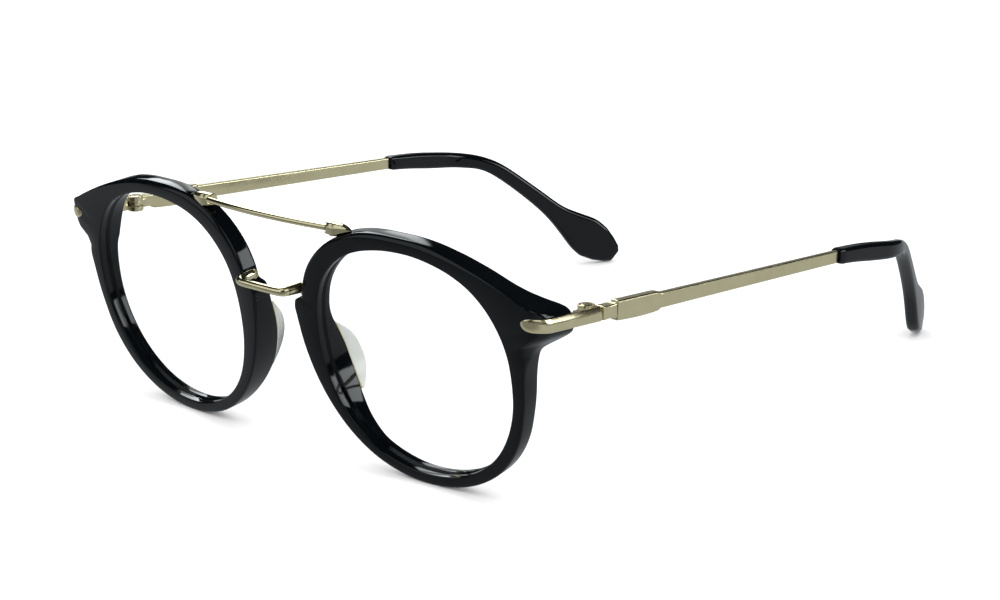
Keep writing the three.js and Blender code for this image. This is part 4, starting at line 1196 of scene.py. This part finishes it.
# ---------------------------------------------------------------- floor
def floor():
    half = 4.0    # metres
    corners = [(-half, -half, 0), (half, -half, 0), (half, half, 0), (-half, half, 0)]
    made = make_object("floor", (corners, [(0, 1, 2, 3)]))
    net = new_net("floor_paper")
    paper = net.node("BsdfDiffuse", Color=net.tone(
        net.noise(scale=3, detail=2), low=(0.945, 0.945, 0.945), high=(0.95, 0.95, 0.95)))
    # glossy rays see a glow that weakens as the way back along the ray leans towards +Y
    incoming = net.node("NewGeometry").outputs["Incoming"]
    lean = net.node("SeparateXYZ", Vector=incoming).outputs[1]
    glow = net.node("Emission", Color=(0.95, 1.0, 1.04, 1),
                    Strength=net.remap(lean, low=0.43, high=0.20, start=0.30, end=0.72))
    is_glossy = net.node("LightPath").outputs["Is Glossy Ray"]
    made.data.materials.append(net.finish(net.mix(is_glossy, paper, glow)))


floor()

# ---------------------------------------------------------------- studio
# Softboxes: azimuth from, to; elevation from, to; level; edge softness; level at the bottom
# if it is graded. Angles are in degrees; azimuth runs from +Y (behind) towards +X.
SOFTBOXES = [
    (-54.0, -43.5, 3.5, 46, 1.35, 0.7, 0.7),     # behind, -X side
    (-68, -54.6, 21, 50, 5.0, 1.0),
    (-50.5, -43.8, 24, 45, 2.6, 2.2),
    (-43.5, -30, 5, 19, 0.2, 1.5),
    (38, 51, 7, 18.6, 4.2, 0.6),                 # behind, +X side: three panes
    (38, 51, 20.4, 31, 4.2, 0.6),
    (52.4, 70, 7, 31, 4.2, 0.6),
    (-179, -120, 30, 62, 0.7, 4),                # in front, -X side
    (-170, -122, 8, 28, 0.8, 3),
    (95, 150, 18, 60, 0.8, 6)]                   # in front, +X side
AMBIENT = 0.02


def studio():
    """White surround; glossy rays see dark with softboxes instead."""
    world = bpy.data.worlds.new("studio")
    scene.world = world
    net = Net(world, "OutputWorld", "Generated")
    ray = net.node("SeparateXYZ", Vector=net.coords).outputs
    to_degrees = 180 / math.pi
    azimuth = net.math("MULTIPLY", net.math("ARCTAN2", ray[0], ray[1]), to_degrees)
    elevation = net.math("MULTIPLY", net.math("ARCSINE", ray[2]), to_degrees)

    def step(value, at, soft):
        made = net.node("MapRange", From_Min=at - soft, From_Max=at + soft, Value=value)
        made.interpolation_type = "SMOOTHSTEP"
        return made.outputs["Result"]

    def window(value, start, end, soft):
        rise = step(value, start, soft)
        return net.math("MULTIPLY", rise, net.math("SUBTRACT", 1.0, step(value, end, soft)))

    def softbox(left, right, bottom, top, level, soft, low=None):
        shape = net.math("MULTIPLY", window(azimuth, left, right, soft),
                         window(elevation, bottom, top, soft))
        if low is not None:
            level = net.remap(elevation, low=low, high=level, start=bottom, end=top)
        return net.math("MULTIPLY", shape, level)

    total = softbox(*SOFTBOXES[0])
    for row in SOFTBOXES[1:]:
        total = net.math("ADD", total, softbox(*row))
    total = net.math("ADD", total, AMBIENT)
    reflected = net.node("Background", Color=(0.93, 0.98, 1.0, 1), Strength=total)
    white = net.node("Background", Color=(1, 1, 1, 1), Strength=1.5)
    is_glossy = net.node("LightPath").outputs["Is Glossy Ray"]
    net.finish(net.mix(is_glossy, white, reflected))


studio()
scene.view_settings.view_transform = "Standard"
scene.view_settings.look = "None"

# ---------------------------------------------------------------- camera
CAMERA_AT = np.array([359.764, -330.264, 169.669])
CAMERA_AZIMUTH, CAMERA_ELEVATION, CAMERA_ROLL = map(math.radians, (42.438, 15.858, -0.154))


def camera():
    """In front, on the +X side, looking slightly down."""
    azimuth, elevation, roll = CAMERA_AZIMUTH, CAMERA_ELEVATION, CAMERA_ROLL
    back = np.array([math.sin(azimuth) * math.cos(elevation),
                     -math.cos(azimuth) * math.cos(elevation), math.sin(elevation)])
    level = np.array([math.cos(azimuth), math.sin(azimuth), 0])
    upright = np.cross(back, level)
    right = math.cos(roll) * level + math.sin(roll) * upright
    up = -math.sin(roll) * level + math.cos(roll) * upright
    place = (CAMERA_AT + DESIGN_OFFSET) * MM
    data = bpy.data.cameras.new("camera")
    data.sensor_width = 36.0
    data.lens = 91.834056
    data.clip_start = 0.01
    data.clip_end = 50
    made = bpy.data.objects.new("camera", data)
    scene.collection.objects.link(made)
    made.matrix_world = Matrix(
        [[right[i], up[i], back[i], place[i]] for i in range(3)] + [[0, 0, 0, 1]])
    scene.camera = made


camera()
